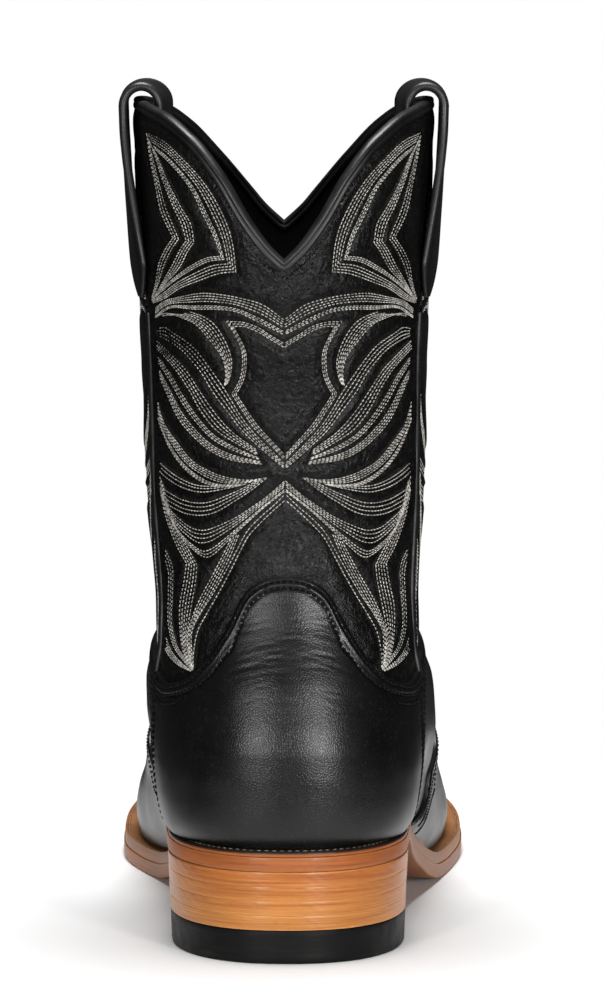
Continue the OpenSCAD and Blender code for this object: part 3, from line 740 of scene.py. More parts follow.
# ---------------------------------------------------------------- the stitched pattern
# Half of the pattern, in millimetres: outward from the middle of the panel, height. Each family runs
# from one line to another; a line is one or more smooth parts that meet at corners.
# The points were picked on the photo by eye and turned into millimetres by a scratch script, then rounded.
# A family's rows are an even count, or these shares of the way across that split it into two bands.
SPLIT_BAND = (0, 0.17, 0.34, 0.51, 0.8, 0.9, 1)
DOUBLE_BAND = (0, 0.12, 0.26, 0.64, 0.76, 0.88, 1)
PATTERN = [
    # upper flame, its leaf and its outer edge
    ([[(46, 275), (40, 273), (34, 268), (28, 262), (23, 255), (19, 247), (17, 240), (16, 231)],
      [(16, 231), (22, 230), (29, 227), (35, 224), (40, 220), (45, 217)]],
     [[(43, 270), (37, 265), (31, 258), (27, 250), (23, 242), (21, 236)],
      [(21, 236), (26, 235), (31, 232), (36, 228), (41, 223), (44, 219)]], SPLIT_BAND),
    ([[(46, 275), (45, 268), (43, 258), (41, 249), (37, 241)],
      [(37, 241), (40, 236), (42, 231), (43, 225), (45, 217)]],
     [[(45, 272), (42, 267), (38, 258), (34, 251), (31, 246), (30, 240)],
      [(30, 240), (32, 237), (35, 231), (39, 226), (44, 219)]], DOUBLE_BAND),
    # arch over the shield
    ([[(44, 215), (40, 219), (35, 221), (28, 223), (21, 223), (14, 222), (7, 220), (0, 215)]],
     [[(44, 212), (38, 217), (30, 217.5), (23, 218), (16, 217.5), (9, 214.5), (0, 210)]], SPLIT_BAND),
    # shield
    ([[(0, 207), (5, 210), (9, 212.5), (14, 214), (19, 214)],
      [(19, 214), (16, 209), (14, 204), (14, 198), (15, 194), (17.5, 189.5)],
      [(17.5, 189.5), (14, 184), (10, 178), (5, 173), (0, 167.5)]],
     [[(0, 205.7), (5, 208.7), (9, 211), (13, 212.5), (17, 212.5)],
      [(17, 212.5), (14.5, 208), (12.8, 203.5), (12.8, 198), (13.8, 194), (16, 189.5)],
      [(16, 189.5), (13, 184.8), (9, 179), (4.5, 174), (0, 169)]], 3),
    # petal above the long leaves
    ([[(43.5, 213), (39, 215), (33.5, 214), (29, 212), (24, 206.5), (20.5, 201.5), (19.5, 196.5), (20, 192)]],
     [[(31.5, 216.5), (26.5, 215), (23, 212.5), (20, 208), (18, 203), (17.5, 199), (18.5, 194), (20, 192)]],
     6),
    # long leaves that meet under the shield
    ([[(43.5, 208.5), (40, 210), (37, 208.5), (31, 205), (26.5, 200), (20, 191), (12, 178.5), (0, 166)]],
     [[(43.5, 207), (39.5, 206), (34, 203), (28, 196.5), (24, 190), (19, 183.5), (13, 176), (0, 164.5)]], 4),
    ([[(43.5, 205.5), (39, 202), (33, 196.5), (28.5, 190), (23.5, 183), (17.5, 176.5), (9, 170.5)]],
     [[(43, 202.5), (37, 197), (32, 190), (28, 183), (23, 177), (16.5, 173), (9, 169)]], 4),
    ([[(42.5, 199.5), (38, 194), (34, 187.5), (29, 180.5), (23.5, 175), (16, 171), (8.5, 168)]],
     [[(42, 193), (39.5, 187.5), (35.5, 179.5), (30.5, 174), (24.5, 169.5), (17.5, 167), (7.5, 166)]],
     DOUBLE_BAND),
    # crescents
    ([[(43, 186), (42, 181), (40, 176), (36, 171), (31.5, 166), (26, 163), (19.5, 161), (12, 160.5),
       (6, 161.5)]],
     [[(44, 182.5), (42, 176), (38.5, 168.5), (34, 163), (29, 159.5), (24, 158), (15, 158.5)]], SPLIT_BAND),
    ([[(44, 164.5), (39, 161), (33.5, 158.5), (28.5, 157.5), (21, 158), (15, 158.5)]],
     [[(43, 153), (40.5, 150), (37, 148.5), (33.5, 147.5), (28.5, 147.5), (23.5, 149), (18, 152.5),
       (11.5, 157), (6, 161.5)]], DOUBLE_BAND),
    # lower V and the flame that falls from it
    ([[(44, 161), (42, 153), (39, 148), (36, 145.5), (32, 143), (27.5, 142.5), (22.5, 144.5), (16, 148),
       (11, 151.5), (5, 156), (0, 160.5)]],
     [[(40.5, 148.5), (38, 143.5), (35, 139), (31, 135.5), (27, 133.5), (24, 135), (20.5, 138.5),
       (14, 145), (7, 151.5), (0, 157)]], SPLIT_BAND),
    ([[(0, 156), (4, 152), (9, 147.5), (13, 143), (16, 137.5), (20.5, 129), (25, 121), (29, 114.5),
       (32, 108), (32, 100), (31.5, 95)]],
     [[(0, 154), (5, 149.5), (9.5, 145), (12.5, 141.5), (15, 137), (19, 129), (23, 121.5), (27, 114.5),
       (30, 108.5), (31.5, 101), (31.5, 95)]], 2),
    ([[(15.5, 142.5), (18.5, 135), (22.5, 127), (27, 118.5), (30.5, 112.5), (32.5, 107.5), (32.5, 100),
       (31.5, 95)]],
     [[(18, 141), (21, 135), (24.5, 128), (29, 119.5), (31.5, 113.5), (33.5, 107), (33, 100),
       (31.5, 95)]], 4),
    ([[(43.5, 162), (41.5, 150), (40, 144), (37, 136.5), (33.5, 130.5)],
      [(33.5, 130.5), (34.5, 124), (36, 116), (36, 108.5), (35, 101), (31.5, 95)]],
     [[(41.5, 157), (39, 147), (36, 140.5), (32.5, 135), (30, 130.5)],
      [(30, 130.5), (30.5, 125), (32, 117), (33, 111.5), (34, 104), (31.5, 95)]], 5),
    ([[(45, 139), (41.5, 134.5), (38.5, 128.5), (38.5, 120.5), (39, 110), (37.5, 103), (35, 99.5),
       (31.5, 95)]],
     [[(45, 133.5), (44, 124), (44, 112.5), (43.5, 105.5), (41, 99.5), (37, 96.5), (31.5, 95)]],
     DOUBLE_BAND),
]
# Dark rows that follow the flame's outer edge and the inside of the shield
OUTLINES = [
    [[(45, 279), (38, 275.5), (32, 270.5), (26, 264), (20.5, 256.5), (16, 247.5), (14, 240), (13, 228)]],
    [[(0, 203.5), (5, 206.5), (9, 209), (12, 210)],
     [(12, 210), (11, 204), (10.5, 198), (11.5, 193), (13.5, 189)],
     [(13.5, 189), (11, 184.5), (7, 179), (3.5, 175), (0, 171.5)]],
]
# Families that are worked again on the sides of the front panel
FLAME_FAMILIES = (0, 1, 4, 8, 9, 13, 14)


def angle_behind(x, z):
    """Angle from the back of a point that lies x out from the leg's middle, as seen from behind."""
    h = hoop(z)
    q = np.clip(x / h[5], -0.985, 0.985)
    return np.degrees(np.arctan2(q, (1 - np.abs(q) ** h[11]) ** (1 / h[11])))


# Distances round the leg from the middle of the front, by level and angle
ARC_LEVELS = np.arange(85, 291, 5.0)
ARC_ANGLES = np.arange(180, 59, -1.0)
ARC_POINTS = face(ARC_LEVELS[:, None], ARC_ANGLES[None])
ARC_STEPS = np.linalg.norm(np.diff(ARC_POINTS, axis=1), axis=2)
ARC_LENGTHS = np.concatenate([np.zeros((len(ARC_LEVELS), 1)), np.cumsum(ARC_STEPS, axis=1)], axis=1)


def arc_row(z):
    """The row of ARC_LENGTHS at a level."""
    k = np.clip((z - ARC_LEVELS[0]) / 5, 0, len(ARC_LEVELS) - 1.001)
    return mix(ARC_LENGTHS[int(k)], ARC_LENGTHS[int(k) + 1], k - int(k))


def angle_in_front(arc, z):
    """Angle of points that lie a distance round the leg from the middle of the front."""
    return np.array([np.interp(a, arc_row(v), ARC_ANGLES) for a, v in zip(arc, z)])


def seam_arc(z):
    """Distance round the leg from the middle of the front to the side seam."""
    return np.array([np.interp(-seam(v), -ARC_ANGLES, arc_row(v)) for v in z])


def runs(mask):
    """Index ranges of four or more places where the mask holds."""
    ends = np.concatenate([[False], mask, [False]]).astype(int)
    edge = np.flatnonzero(np.diff(ends))
    return [(a, b) for a, b in zip(edge[::2], edge[1::2]) if b - a >= 4]


BELOW_TOP = 1.5
ABOVE_FOOT = 1.8


def inside_back(level, angle):
    """Where the pattern shows on the back panel."""
    return ((level < panel_top(angle) - BELOW_TOP) & (level > counter_top(angle) + ABOVE_FOOT)
            & (np.abs(angle) < back_limit(level) - 3.2))


def inside_front(level, angle):
    """Where the pattern shows on the front panel."""
    return ((level < panel_top(angle) - BELOW_TOP) & (level > vamp_top(angle) + ABOVE_FOOT)
            & (from_back(angle) > front_limit(level) + 2.8))


def kept_parts(level, angle, inside):
    return [(level[a:b], angle[a:b]) for a, b in runs(inside(level, angle))]


def back_rows(lines):
    """Lines of the pattern on the back panel, both halves, as levels and angles."""
    rows = []
    for line in lines:
        for side in (-1, 1):
            x, z = line[:, 0] * side, line[:, 1]
            rows += kept_parts(z, angle_behind(x, z), inside_back)
    return rows


# The pattern is wider on the front panel and its sides, and sits a little higher
FRONT_WIDTH = 1.15
SIDE_WIDTH = 1.3
FRONT_LIFT = 2
PATTERN_HALF = 47


def front_rows(lines, mirrored_at_seam=False):
    """Lines of the pattern on the front panel, from its middle or, mirrored, from the side seams."""
    rows = []
    for line in lines:
        z = line[:, 1] + (0 if mirrored_at_seam else FRONT_LIFT)
        if mirrored_at_seam:
            arc = seam_arc(z) - (PATTERN_HALF - line[:, 0]) * SIDE_WIDTH
        else:
            arc = line[:, 0] * FRONT_WIDTH
        angle = angle_in_front(np.maximum(arc, 0), z)
        for side in (-1, 1):
            rows += kept_parts(z, 180 - side * (180 - angle), inside_front)
    return rows


def in_space(rows):
    return [face(level, angle) for level, angle in rows]


def sewn(name, rows, depth, pitch, length, radius, material, slot):
    """Stitches along rows given by levels and angles."""
    marks = [stitches(skin(v, a, depth), out(v, a), pitch) for v, a in rows]
    settle(stitch_mesh(name, marks, length, radius, material), slot)


# ---------------------------------------------------------------- leg panels
def groove(points, lines, depth=0.2, width=0.55):
    """The leather pulled down along lines of stitching."""
    return -depth * np.exp(-(distances(points, lines) / width) ** 2)


EDGE_DROP = 0.75


def rounded_edge(distance, radius=0.7):
    """Drop of a leather edge that is rounded over."""
    return -EDGE_DROP * np.exp(-(distance / radius) ** 2)


def quilted(points, lines):
    """The leather sinks along the stitching and swells between the rows."""
    d = distances(points, lines)
    return -0.30 * np.exp(-(d / 0.5) ** 2) + 0.75 * (1 - np.exp(-(d / 1.8) ** 2)) * np.exp(-(d / 10) ** 2)


COARSE = 6


def leg_panel(name, level, angle, lift, slot, material, inner_depth, outer_depth, coarse=COARSE):
    """A panel whose outer face is raised by lift; its inner face has one row for every few outer rows."""
    outer = skin(level, angle, outer_depth + lift)
    inner = skin(level[::coarse, ::coarse], angle[::coarse, ::coarse], inner_depth)
    settle(sheet_mesh(name, outer, inner, material), slot, name)


pattern = [line for first, last, rows in PATTERN for line in fan(first, last, rows)]
flames = [line for i in FLAME_FAMILIES for line in fan(*PATTERN[i])]
outlines = [smooth_line(part) for line in OUTLINES for part in line]
back_pattern = back_rows(pattern)
front_pattern = front_rows(pattern) + front_rows(flames, mirrored_at_seam=True)
back_outlines = back_rows(outlines)
front_outlines = front_rows(outlines)


def edge_row(edge, drop, start, stop):
    """A row of stitching that follows an edge line, a constant distance below it."""
    angle = np.arange(start, stop, 1.0)
    level = edge(angle)
    line = face(level, angle)
    along = unit(np.gradient(line, axis=0))
    slope = np.abs(along[:, 2]) / np.maximum(np.hypot(along[:, 0], along[:, 1]), 0.2)
    return level - drop * np.sqrt(1 + slope**2), angle


def side_row(limit, distance, low, high, side, turn=1):
    """A row of stitching beside a seam, a constant distance from it."""
    level = np.arange(low, high, 2.0)
    angle = limit(level)
    per_degree = np.linalg.norm(face(level, angle + 0.5) - face(level, angle - 0.5), axis=1)
    return level, side * (angle + turn * distance / per_degree)


TOP_ROW_DROP = 4.6
SIDE_ROW_INSET = 1.3
back_trim = [edge_row(top_level, TOP_ROW_DROP, -74, 74.5)]
front_trim = [edge_row(top_level, TOP_ROW_DROP, 96, 265)]
for side in (-1, 1):
    back_trim.append(side_row(back_limit, SIDE_ROW_INSET, 94, 214, side, -1))
    front_trim.append(side_row(front_limit, SIDE_ROW_INSET, 102, 214, side))

rng = np.random.default_rng(11)
SOFT_COUNT = 26
SOFT_FOLDS = [(x, z, turn, 9, 1.5, depth)
              for x, z, turn, depth in zip(rng.uniform(-36, 36, SOFT_COUNT),
                                           rng.uniform(236, 268, SOFT_COUNT),
                                           rng.uniform(50, 130, SOFT_COUNT),
                                           rng.uniform(0.15, 0.35, SOFT_COUNT))]
RADIAL_FOLDS = [(math.sin(math.radians(t)) * 10, 150 - math.cos(math.radians(t)) * 12, 90 + t, 8, 0.9, 0.35)
                for t in (-62, -40, -21, -6, 9, 25, 44, 64)]


def soft_shape(x, level):
    """Slack of the leg: wide shallow waves, and small folds where the leather is gathered."""
    waves = 0.28 * np.sin(level / 11 + x / 23) * np.sin(x / 13 + 1.3) + 0.2 * np.sin(level / 6.5 - x / 17)
    return waves * 0.6 + creases(x, level, SOFT_FOLDS + RADIAL_FOLDS)


level, angle = level_angle_grid(lambda a: counter_top(a) - UNDERLAP, panel_top,
                                lambda v: -back_limit(v), back_limit, 289, 217)
base = face(level, angle)
held = ease((level - counter_top(angle) - 1) / 5) * ease((panel_top(angle) - level) / 4)
lift = quilted(base, in_space(back_pattern)) * held + groove(base, in_space(back_trim + back_outlines))
lift += soft_shape(base[..., 0], level) * held
leg_panel("shaft_back", level, angle, lift, "shaft_leather", SHAFT, -LEATHER, 0)

level, angle = level_angle_grid(lambda a: vamp_top(a) - UNDERLAP, panel_top, front_limit,
                                lambda v: 360 - front_limit(v), 241, 313)
base = face(level, angle)
held = ease((level - vamp_top(angle) - 1) / 5) * ease((panel_top(angle) - level) / 4)
lift = quilted(base, in_space(front_pattern)) * held + groove(base, in_space(front_trim + front_outlines))
lift += soft_shape(base[..., 0] * 1.1, level) * held
leg_panel("shaft_front", level, angle, lift, "shaft_leather", SHAFT, -LEATHER, 0)

LEG_MIDDLE_X = -1.4
THREAD_PITCH = 1.45
THREAD_LENGTH = 1.1
THREAD_RADIUS = 0.165
for part, rows in (("back", back_pattern), ("front", front_pattern)):
    halves = {"left": [], "right": []}
    for v, a in rows:
        middle = face(v[len(v) // 2], a[len(a) // 2])
        halves["left" if middle[0] < LEG_MIDDLE_X else "right"].append((v, a))
    for side_name, chosen in halves.items():
        sewn(f"pattern_{part}_{side_name}", chosen, 0.05, THREAD_PITCH, THREAD_LENGTH, THREAD_RADIUS,
             PALE_THREAD, "shaft_leather")
sewn("dark_rows_back", back_trim + back_outlines, 0.1, 2.0, 1.5, 0.26, BLACK_THREAD, "shaft_leather")
sewn("dark_rows_front", front_trim + front_outlines, 0.1, 2.0, 1.5, 0.26, BLACK_THREAD, "shaft_leather")

# ---------------------------------------------------------------- counter
def edge_ridge(distance):
    """The leather swells between the two rows of stitching along an edge."""
    return 0.42 * np.exp(-((distance - 2.8) / 0.9) ** 2)


EDGE_DROPS = (1.5, 4.1)
SIDE_INSETS = (1.4, 3.9)
COUNTER_ROWS = [edge_row(counter_top, d, -76, 76.5) for d in EDGE_DROPS]
COUNTER_ROWS += [edge_row(counter_top, 6.9, start, stop) for start, stop in ((-76, -50), (50, 76.5))]
for side in (-1, 1):
    side_top = counter_top(np.array(76.0)) - 2
    COUNTER_ROWS += [side_row(back_limit, d, 41, side_top, side, -1) for d in SIDE_INSETS]
# Fine folds where the tongue meets the hollow of the ankle
FOLD_COUNT = 150
TONGUE_FOLDS = [(x, z - 0.012 * x**2, turn - 1.3 * x, reach, 0.38, depth)
                for x, z, turn, reach, depth in zip(rng.uniform(-17, 17, FOLD_COUNT),
                                                    rng.normal(104, 6, FOLD_COUNT),
                                                    rng.uniform(-9, 9, FOLD_COUNT),
                                                    rng.uniform(2, 6, FOLD_COUNT),
                                                    rng.uniform(0.02, 0.10, FOLD_COUNT))]
level, angle = level_angle_grid(lambda a: feather(a, UPPER_OUT), counter_top, lambda v: -back_limit(v),
                                back_limit, 145, 241)
base = face(level, angle)
edge_line = [face(counter_top(np.arange(-80, 80.1, 0.5)), np.arange(-80, 80.1, 0.5))]
to_edge = distances(base, edge_line)
lift = groove(base, in_space(COUNTER_ROWS), 0.42, 0.6) + rounded_edge(to_edge)
lift += edge_ridge(to_edge) + creases(base[..., 0], level, TONGUE_FOLDS)
lift += 0.16 * np.sin(level / 9 + base[..., 0] / 14) * ease((to_edge - 6) / 10)
leg_panel("counter", level, angle, lift, "foot_leather", FOOT, UPPER_IN - LAP, UPPER_OUT)
sewn("counter_stitching", COUNTER_ROWS, UPPER_OUT - 0.06, 2.1, 1.5, 0.38, BLACK_THREAD, "foot_leather")


# ---------------------------------------------------------------- vamp and toe
def even_shares(level, left, right, count):
    """Shares between two limits that space a panel's columns evenly along the given level."""
    share = np.linspace(0, 1, 800)
    distance = travelled(face(level, np.linspace(left, right, 800)))
    return np.interp(np.linspace(0, distance[-1], count), distance, share)


TUCK_DEPTH = 1.6
TUCK_HEIGHT = 4.5
# Creases across the ball: middle across and along the boot, direction, half length, half width, depth
FLEX = [(x, y, turn, 26, 2.2, depth) for x, y, turn, depth in (
    (-12, 176, 6, 0.5), (10, 186, -8, 0.6), (-6, 197, 5, 0.55), (14, 208, -10, 0.45), (-18, 214, 12, 0.35))]


def tucked(level, angle):
    """The upper turns in under itself where it meets the welt."""
    height = level - feather(angle, UPPER_OUT)
    return -TUCK_DEPTH * np.exp(-(height / TUCK_HEIGHT) ** 2) * ease((from_back(angle) - 88) / 12)


def flexed(base, level, angle):
    """Creases across the ball, where the boot bends in walking."""
    return creases(base[..., 0], base[..., 1], FLEX) * ease((level - 46) / 12) * ease((angle - 100) / 10)


VAMP_ROWS = [edge_row(vamp_top, d, 79, 281.5) for d in EDGE_DROPS]
for side in (-1, 1):
    for d in SIDE_INSETS:
        v, a = side_row(front_limit, d, 41, 93, 1)
        VAMP_ROWS.append((v, a if side > 0 else 360 - a))
OVERLAY_ROWS = [edge_row(overlay_top, d, 105, 255) for d in (1.3, 3.3)]
# Three nested rows on the toe
TOE_ROWS = []
for k in range(3):
    across = np.linspace(-1, 1, 41)
    TOE_ROWS.append((58 + 1.6 * k + 13 * np.abs(across) ** 1.5 * np.cos(3.2 * across),
                     180 + (13 - 1.5 * k) * across))
level, angle = level_angle_grid(lambda a: feather(a, UPPER_OUT), vamp_top, front_limit,
                                lambda v: 360 - front_limit(v), 121, 385,
                                even_shares(55, 82, 278, 385))
base = face(level, angle)
edge_angles = np.arange(76, 284.1, 0.5)
to_edge = distances(base, [face(vamp_top(edge_angles), edge_angles)])
lift = groove(base, in_space(VAMP_ROWS), 0.34, 0.55) + rounded_edge(to_edge)
lift += edge_ridge(to_edge) + flexed(base, level, angle) + tucked(level, angle)
lift += 0.2 * np.sin(base[..., 1] / 12) * np.sin(base[..., 0] / 15 + level / 10) * ease((to_edge - 6) / 10)
leg_panel("vamp", level, angle, lift, "foot_leather", FOOT, UPPER_IN - LAP, UPPER_OUT)
sewn("vamp_stitching", VAMP_ROWS, UPPER_OUT, 2.0, 1.5, 0.27, BLACK_THREAD, "foot_leather")

OVERLAY_START = 104
OVERLAY_END = 256
level, angle = level_angle_grid(lambda a: feather(a, OVERLAY_OUT), overlay_top,
                                lambda v: np.full(v.shape, float(OVERLAY_START)),
                                lambda v: np.full(v.shape, float(OVERLAY_END)), 85, 289,
                                even_shares(50, OVERLAY_START, OVERLAY_END, 289))
base = face(level, angle)
edge_angles = np.arange(OVERLAY_START, OVERLAY_END + 0.1, 0.25)
to_edge = distances(base, [face(overlay_top(edge_angles), edge_angles)])
lift = groove(base, in_space(OVERLAY_ROWS + TOE_ROWS), 0.24, 0.5) + rounded_edge(to_edge, 0.6)
lift += flexed(base, level, angle) + tucked(level, angle)
leg_panel("toe_overlay", level, angle, lift, "foot_leather", FOOT, OVERLAY_IN - 2 * LAP, OVERLAY_OUT)
sewn("toe_stitching", OVERLAY_ROWS + TOE_ROWS, OVERLAY_OUT, 1.9, 1.45, 0.26, BLACK_THREAD, "foot_leather")


# ---------------------------------------------------------------- linings
def lining_panel(name, low, high, left, right, rows, cols):
    level, angle = level_angle_grid(low, high, left, right, rows, cols)
    lift = 0.12 * np.sin(level / 7 + angle / 9) * ease((high(angle) - level) / 6)
    leg_panel(name, level, angle, lift - 0.12, "lining_leather", LEG_LINING, LINING_IN, LINING_OUT, 2)


# Level where the front leg lining ends on the foot lining, and degrees between a lining's edge and the seam
LINING_SPLIT = 100
LINING_SEAM = 0.3
lining_panel("lining_back", lambda a: feather(a, LINING_IN), panel_top, lambda v: LINING_SEAM - seam(v),
             lambda v: seam(v) - LINING_SEAM, 61, 61)
lining_panel("lining_front", lambda a: np.full(a.shape, float(LINING_SPLIT)), panel_top,
             lambda v: seam(v) + LINING_SEAM, lambda v: 360 - LINING_SEAM - seam(v), 61, 81)


# ---------------------------------------------------------------- piping and top binding
PIPING_RADIUS = 1.5
PIPING_SIDES = 16
for side, side_name in ((-1, "left"), (1, "right")):
    level = np.linspace(41, 214, 221)
    at = side * seam(level)
    centre = skin(level, at, mix(0.75, 0, ease((level - 88) / 14)))
    normal = out(level, at)
    along = unit(np.gradient(centre, axis=0))
    across = unit(np.cross(along, normal))
    turn = np.arange(PIPING_SIDES) * 2 * math.pi / PIPING_SIDES
    pinch = PIPING_RADIUS * (1 + 0.03 * np.sin(level / 1.7))[:, None, None]
    rings = centre[:, None] + pinch * (np.cos(turn)[:, None] * normal[:, None]
                                       + np.sin(turn)[:, None] * across[:, None])
    piece = loft_mesh(f"side_piping_{side_name}", rings[:, ::-1], TRIM)
    settle(piece, "trim_leather", f"side_piping_{side_name}")

# Section of the binding, outward and upward from the middle of the edge: a rolled top over two flaps
BEAD = [(1.8, -1.6), (2.1, -1.25), (2.05, -0.4), (1.8, 0.1), (1.95, 0.6), (1.75, 1.25), (1.1, 1.75),
        (0, 1.95), (-1.1, 1.75), (-1.75, 1.25), (-1.95, 0.6), (-1.8, 0.1), (-2.05, -0.4), (-2.1, -1.25),
        (-1.8, -1.6)]
BINDING_MIDDLE = LINING_IN / 2
BINDING_DROP = 1.4


def binding(name, start, stop):
    angle = np.arange(start, stop + 0.1, 0.4)

    def edge(a):
        return skin(top_level(a), a, np.full(a.shape, BINDING_MIDDLE))

    along = unit(edge(angle + 0.5) - edge(angle - 0.5))
    normal = out(top_level(angle), angle)
    up = unit(np.cross(normal, along))
    centre = edge(angle) - BINDING_DROP * up
    section = smooth_line(BEAD, 0.35)
    rings = centre[:, None] + section[:, 0, None] * normal[:, None] + section[:, 1, None] * up[:, None]
    settle(loft_mesh(name, rings[:, ::-1], TRIM), "trim_leather", name)


binding("top_binding_back", -84, 84)
binding("top_binding_front", 84.4, 275.6)

# ---------------------------------------------------------------- pull straps
STRAP_WIDTH = 26
STRAP_THICKNESS = 3.2
STRAP_RISE = 6.4
YAW_DEPTH = 3
# Height, middle along the boot, width share, thickness share, distance outside, flatness
OUTER_LEG = [(219, 55, 0.16, 0.45, 1.8, 0), (225, 57.5, 0.6, 0.6, 1.9, 0), (232, 60, 0.95, 0.75, 2, 0.05),
             (243, 62.5, 1, 0.9, 2.2, 0.25), (255, 65, 1, 1, 2.6, 0.55), (266, 67.5, 1, 1, 3.1, 0.85),
             (276, 69.4, 1, 1, 3.5, 1), (283, 70, 1, 1, 3.6, 1)]
# Height, middle along the boot, width share, distance inside, yaw share
INNER_LEG = [(234, 62, 1, 6, 0), (244, 64, 1, 6.5, 0.2), (255, 66, 1, 7.4, 0.5), (266, 68, 1, 8.1, 0.8),
             (276, 69.4, 1, 8.5, 1), (283, 70, 1, 8.6, 1)]
ARCH_BASE = 283


def wall_point(y, z, d, side, flat):
    """Point a distance outside the leg's wall or, where flat is 1, outside an upright plane along it."""
    h = hoop(z)
    rear = y < h[2]
    m = np.where(rear, h[11], h[10])
    reach = np.where(rear, h[2] - h[1], h[3] - h[2])
    c = (y - h[2]) / reach
    x = h[5] * (1 - np.abs(c) ** m) ** (1 / m)
    n = unit(np.stack([(x / h[5]) ** (m - 1) / h[5], np.sign(c) * np.abs(c) ** (m - 1) / reach], axis=-1))
    return np.stack([h[12] + side * mix(x + d * n[..., 0], h[5] + d, flat), y + d * n[..., 1] * (1 - flat),
                     np.broadcast_to(z, np.shape(x))], axis=-1)


# Section of a strap: shares across it, along its outer side and back along its inner side
SIDE_COUNT = 41
ACROSS = np.concatenate([np.linspace(-0.5, 0.5, SIDE_COUNT), np.linspace(0.5, -0.5, SIDE_COUNT)])
OUTER_SIDE = np.concatenate([np.ones(SIDE_COUNT), -np.ones(SIDE_COUNT)])
FROM_EDGE = (0.5 - np.abs(ACROSS)) * STRAP_WIDTH
STRAP_SEWN_IN = 3.4


def strap_thickness_at(from_edge):
    """Half thickness of a strap in millimetres: a rolled edge, a sewn groove and a padded middle."""
    roll = 1.55 * np.sqrt(np.clip(1 - ((1.5 - from_edge) / 1.55) ** 2, 0.02, 1))
    middle = 1.35 - 0.35 * np.exp(-((from_edge - STRAP_SEWN_IN) / 0.6) ** 2)
    return np.where(from_edge < 1.5, roll, mix(1.52, middle, ease((from_edge - 1.5) / 1.2)))


HALF = strap_thickness_at(FROM_EDGE) * OUTER_SIDE


def strap_rings(side):
    """Rings of a strap from its outer end over the arch to its inner end."""
    rings = []
    for z in np.linspace(OUTER_LEG[0][0], ARCH_BASE, 97):
        middle, width, thick, distance, flat = (float(curve(OUTER_LEG, z, c)) for c in range(1, 6))
        distance += HALF * thick
        rings.append(wall_point(middle + ACROSS * width * STRAP_WIDTH, z, distance, side, flat))
    middle, outer, inside = INNER_LEG[-1][1], OUTER_LEG[-1][4], INNER_LEG[-1][3]
    inner = -inside - YAW_DEPTH * (ACROSS + 0.5)
    rise = PEAK_HEIGHT + STRAP_RISE - ARCH_BASE - STRAP_THICKNESS / 2
    for turn in np.radians(np.linspace(0, 180, 61)[1:-1]):
        distance = (outer + inner) / 2 + ((outer - inner) / 2 + HALF) * math.cos(turn)
        ring = wall_point(middle + ACROSS * STRAP_WIDTH, ARCH_BASE, distance, side, 1)
        ring[:, 2] = ARCH_BASE + (rise + HALF) * math.sin(turn)
        rings.append(ring)
    for z in np.linspace(ARCH_BASE, INNER_LEG[0][0], 61):
        middle, width, inside, yaw = (float(curve(INNER_LEG, z, c)) for c in range(1, 5))
        distance = -inside - YAW_DEPTH * yaw * (ACROSS + 0.5) - HALF
        rings.append(wall_point(middle + ACROSS * width * STRAP_WIDTH, z, distance, side, yaw))
    return np.array(rings)[:, ::side]


def pull_strap(side, name):
    rings = strap_rings(side)
    piece = loft_mesh(name, rings, STRAP, sharp=60)
    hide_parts(name)
    bend(piece)
    strap_stitching(rings, side, name)


def bend(piece):
    """Bakes the piece's placement into its mesh."""
    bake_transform(piece)


def strap_stitching(rings, side, name):
    """A row of stitching along each edge of a strap, on both of its sides."""
    marks = []
    last = 2 * SIDE_COUNT - 1
    for end in (-1, 1):
        column = int(np.argmin(np.abs(ACROSS[:SIDE_COUNT] - end * (0.5 - STRAP_SEWN_IN / STRAP_WIDTH))))
        for k in (column, last - column)[::side]:
            line = rings[6:-2, k]
            marks.append(stitches(line, unit(line - rings[6:-2, last - k]), 2.0))
    piece = stitch_mesh(f"{name}_stitching", marks, 1.5, 0.26, BLACK_THREAD)
    bend(piece)


pull_strap(-1, "pull_strap_left")
pull_strap(1, "pull_strap_right")

# ---------------------------------------------------------------- sole
# How far the sole stands out at its sides, back and toe, and the share of the side left at the heel
SOLE_SIDE = 7
SOLE_BACK = 7.8
SOLE_TOE = 8.8
HEEL_SHARE = 0.43
OUTSOLE_THICKNESS = 5
WELT_THICKNESS = 4.5
RAND_THICKNESS = 2
SOLE_GAP = 0.06


def outline(angle, side, end, squarer):
    """Outline of the lowest hoop, moved out by side at its sides and by end at its back and toe."""
    a = np.radians(angle)
    h = HOOPS[0]
    rear = np.cos(a) > 0
    r = ring_radius(a, np.where(rear, h[11], h[10] + squarer))
    u = -r * np.cos(a)
    share = np.where(np.asarray(side) < 0, 1, mix(HEEL_SHARE, 1, ease((u + 0.1) / 0.5)))
    w = np.where(rear, h[5], half_width(h, u, np.sin(a) > 0)) + side * share
    y = h[2] + np.where(rear, h[2] - h[1], h[3] - h[2]) * u + end * u
    return np.stack([w * r * np.sin(a), y], axis=-1)


def sole_edge(angle, inset):
    end = np.where(np.cos(np.radians(angle)) > 0, SOLE_BACK, SOLE_TOE)
    return outline(angle, SOLE_SIDE - inset, end - inset, 1.2)


def rand_at(y):
    return mix(RAND_THICKNESS, WELT_THICKNESS, ease((y - 76) / 50))


def outsole_upper(y):
    return sole_top(y) - rand_at(y)


def even_angles(edge, start, stop, count):
    """Angles that space points evenly along an outline."""
    angle = np.linspace(start, stop, 4000)
    distance = travelled(edge(angle))
    return np.interp(np.linspace(0, distance[-1], count), distance, angle)


SLAB_STEPS = 12


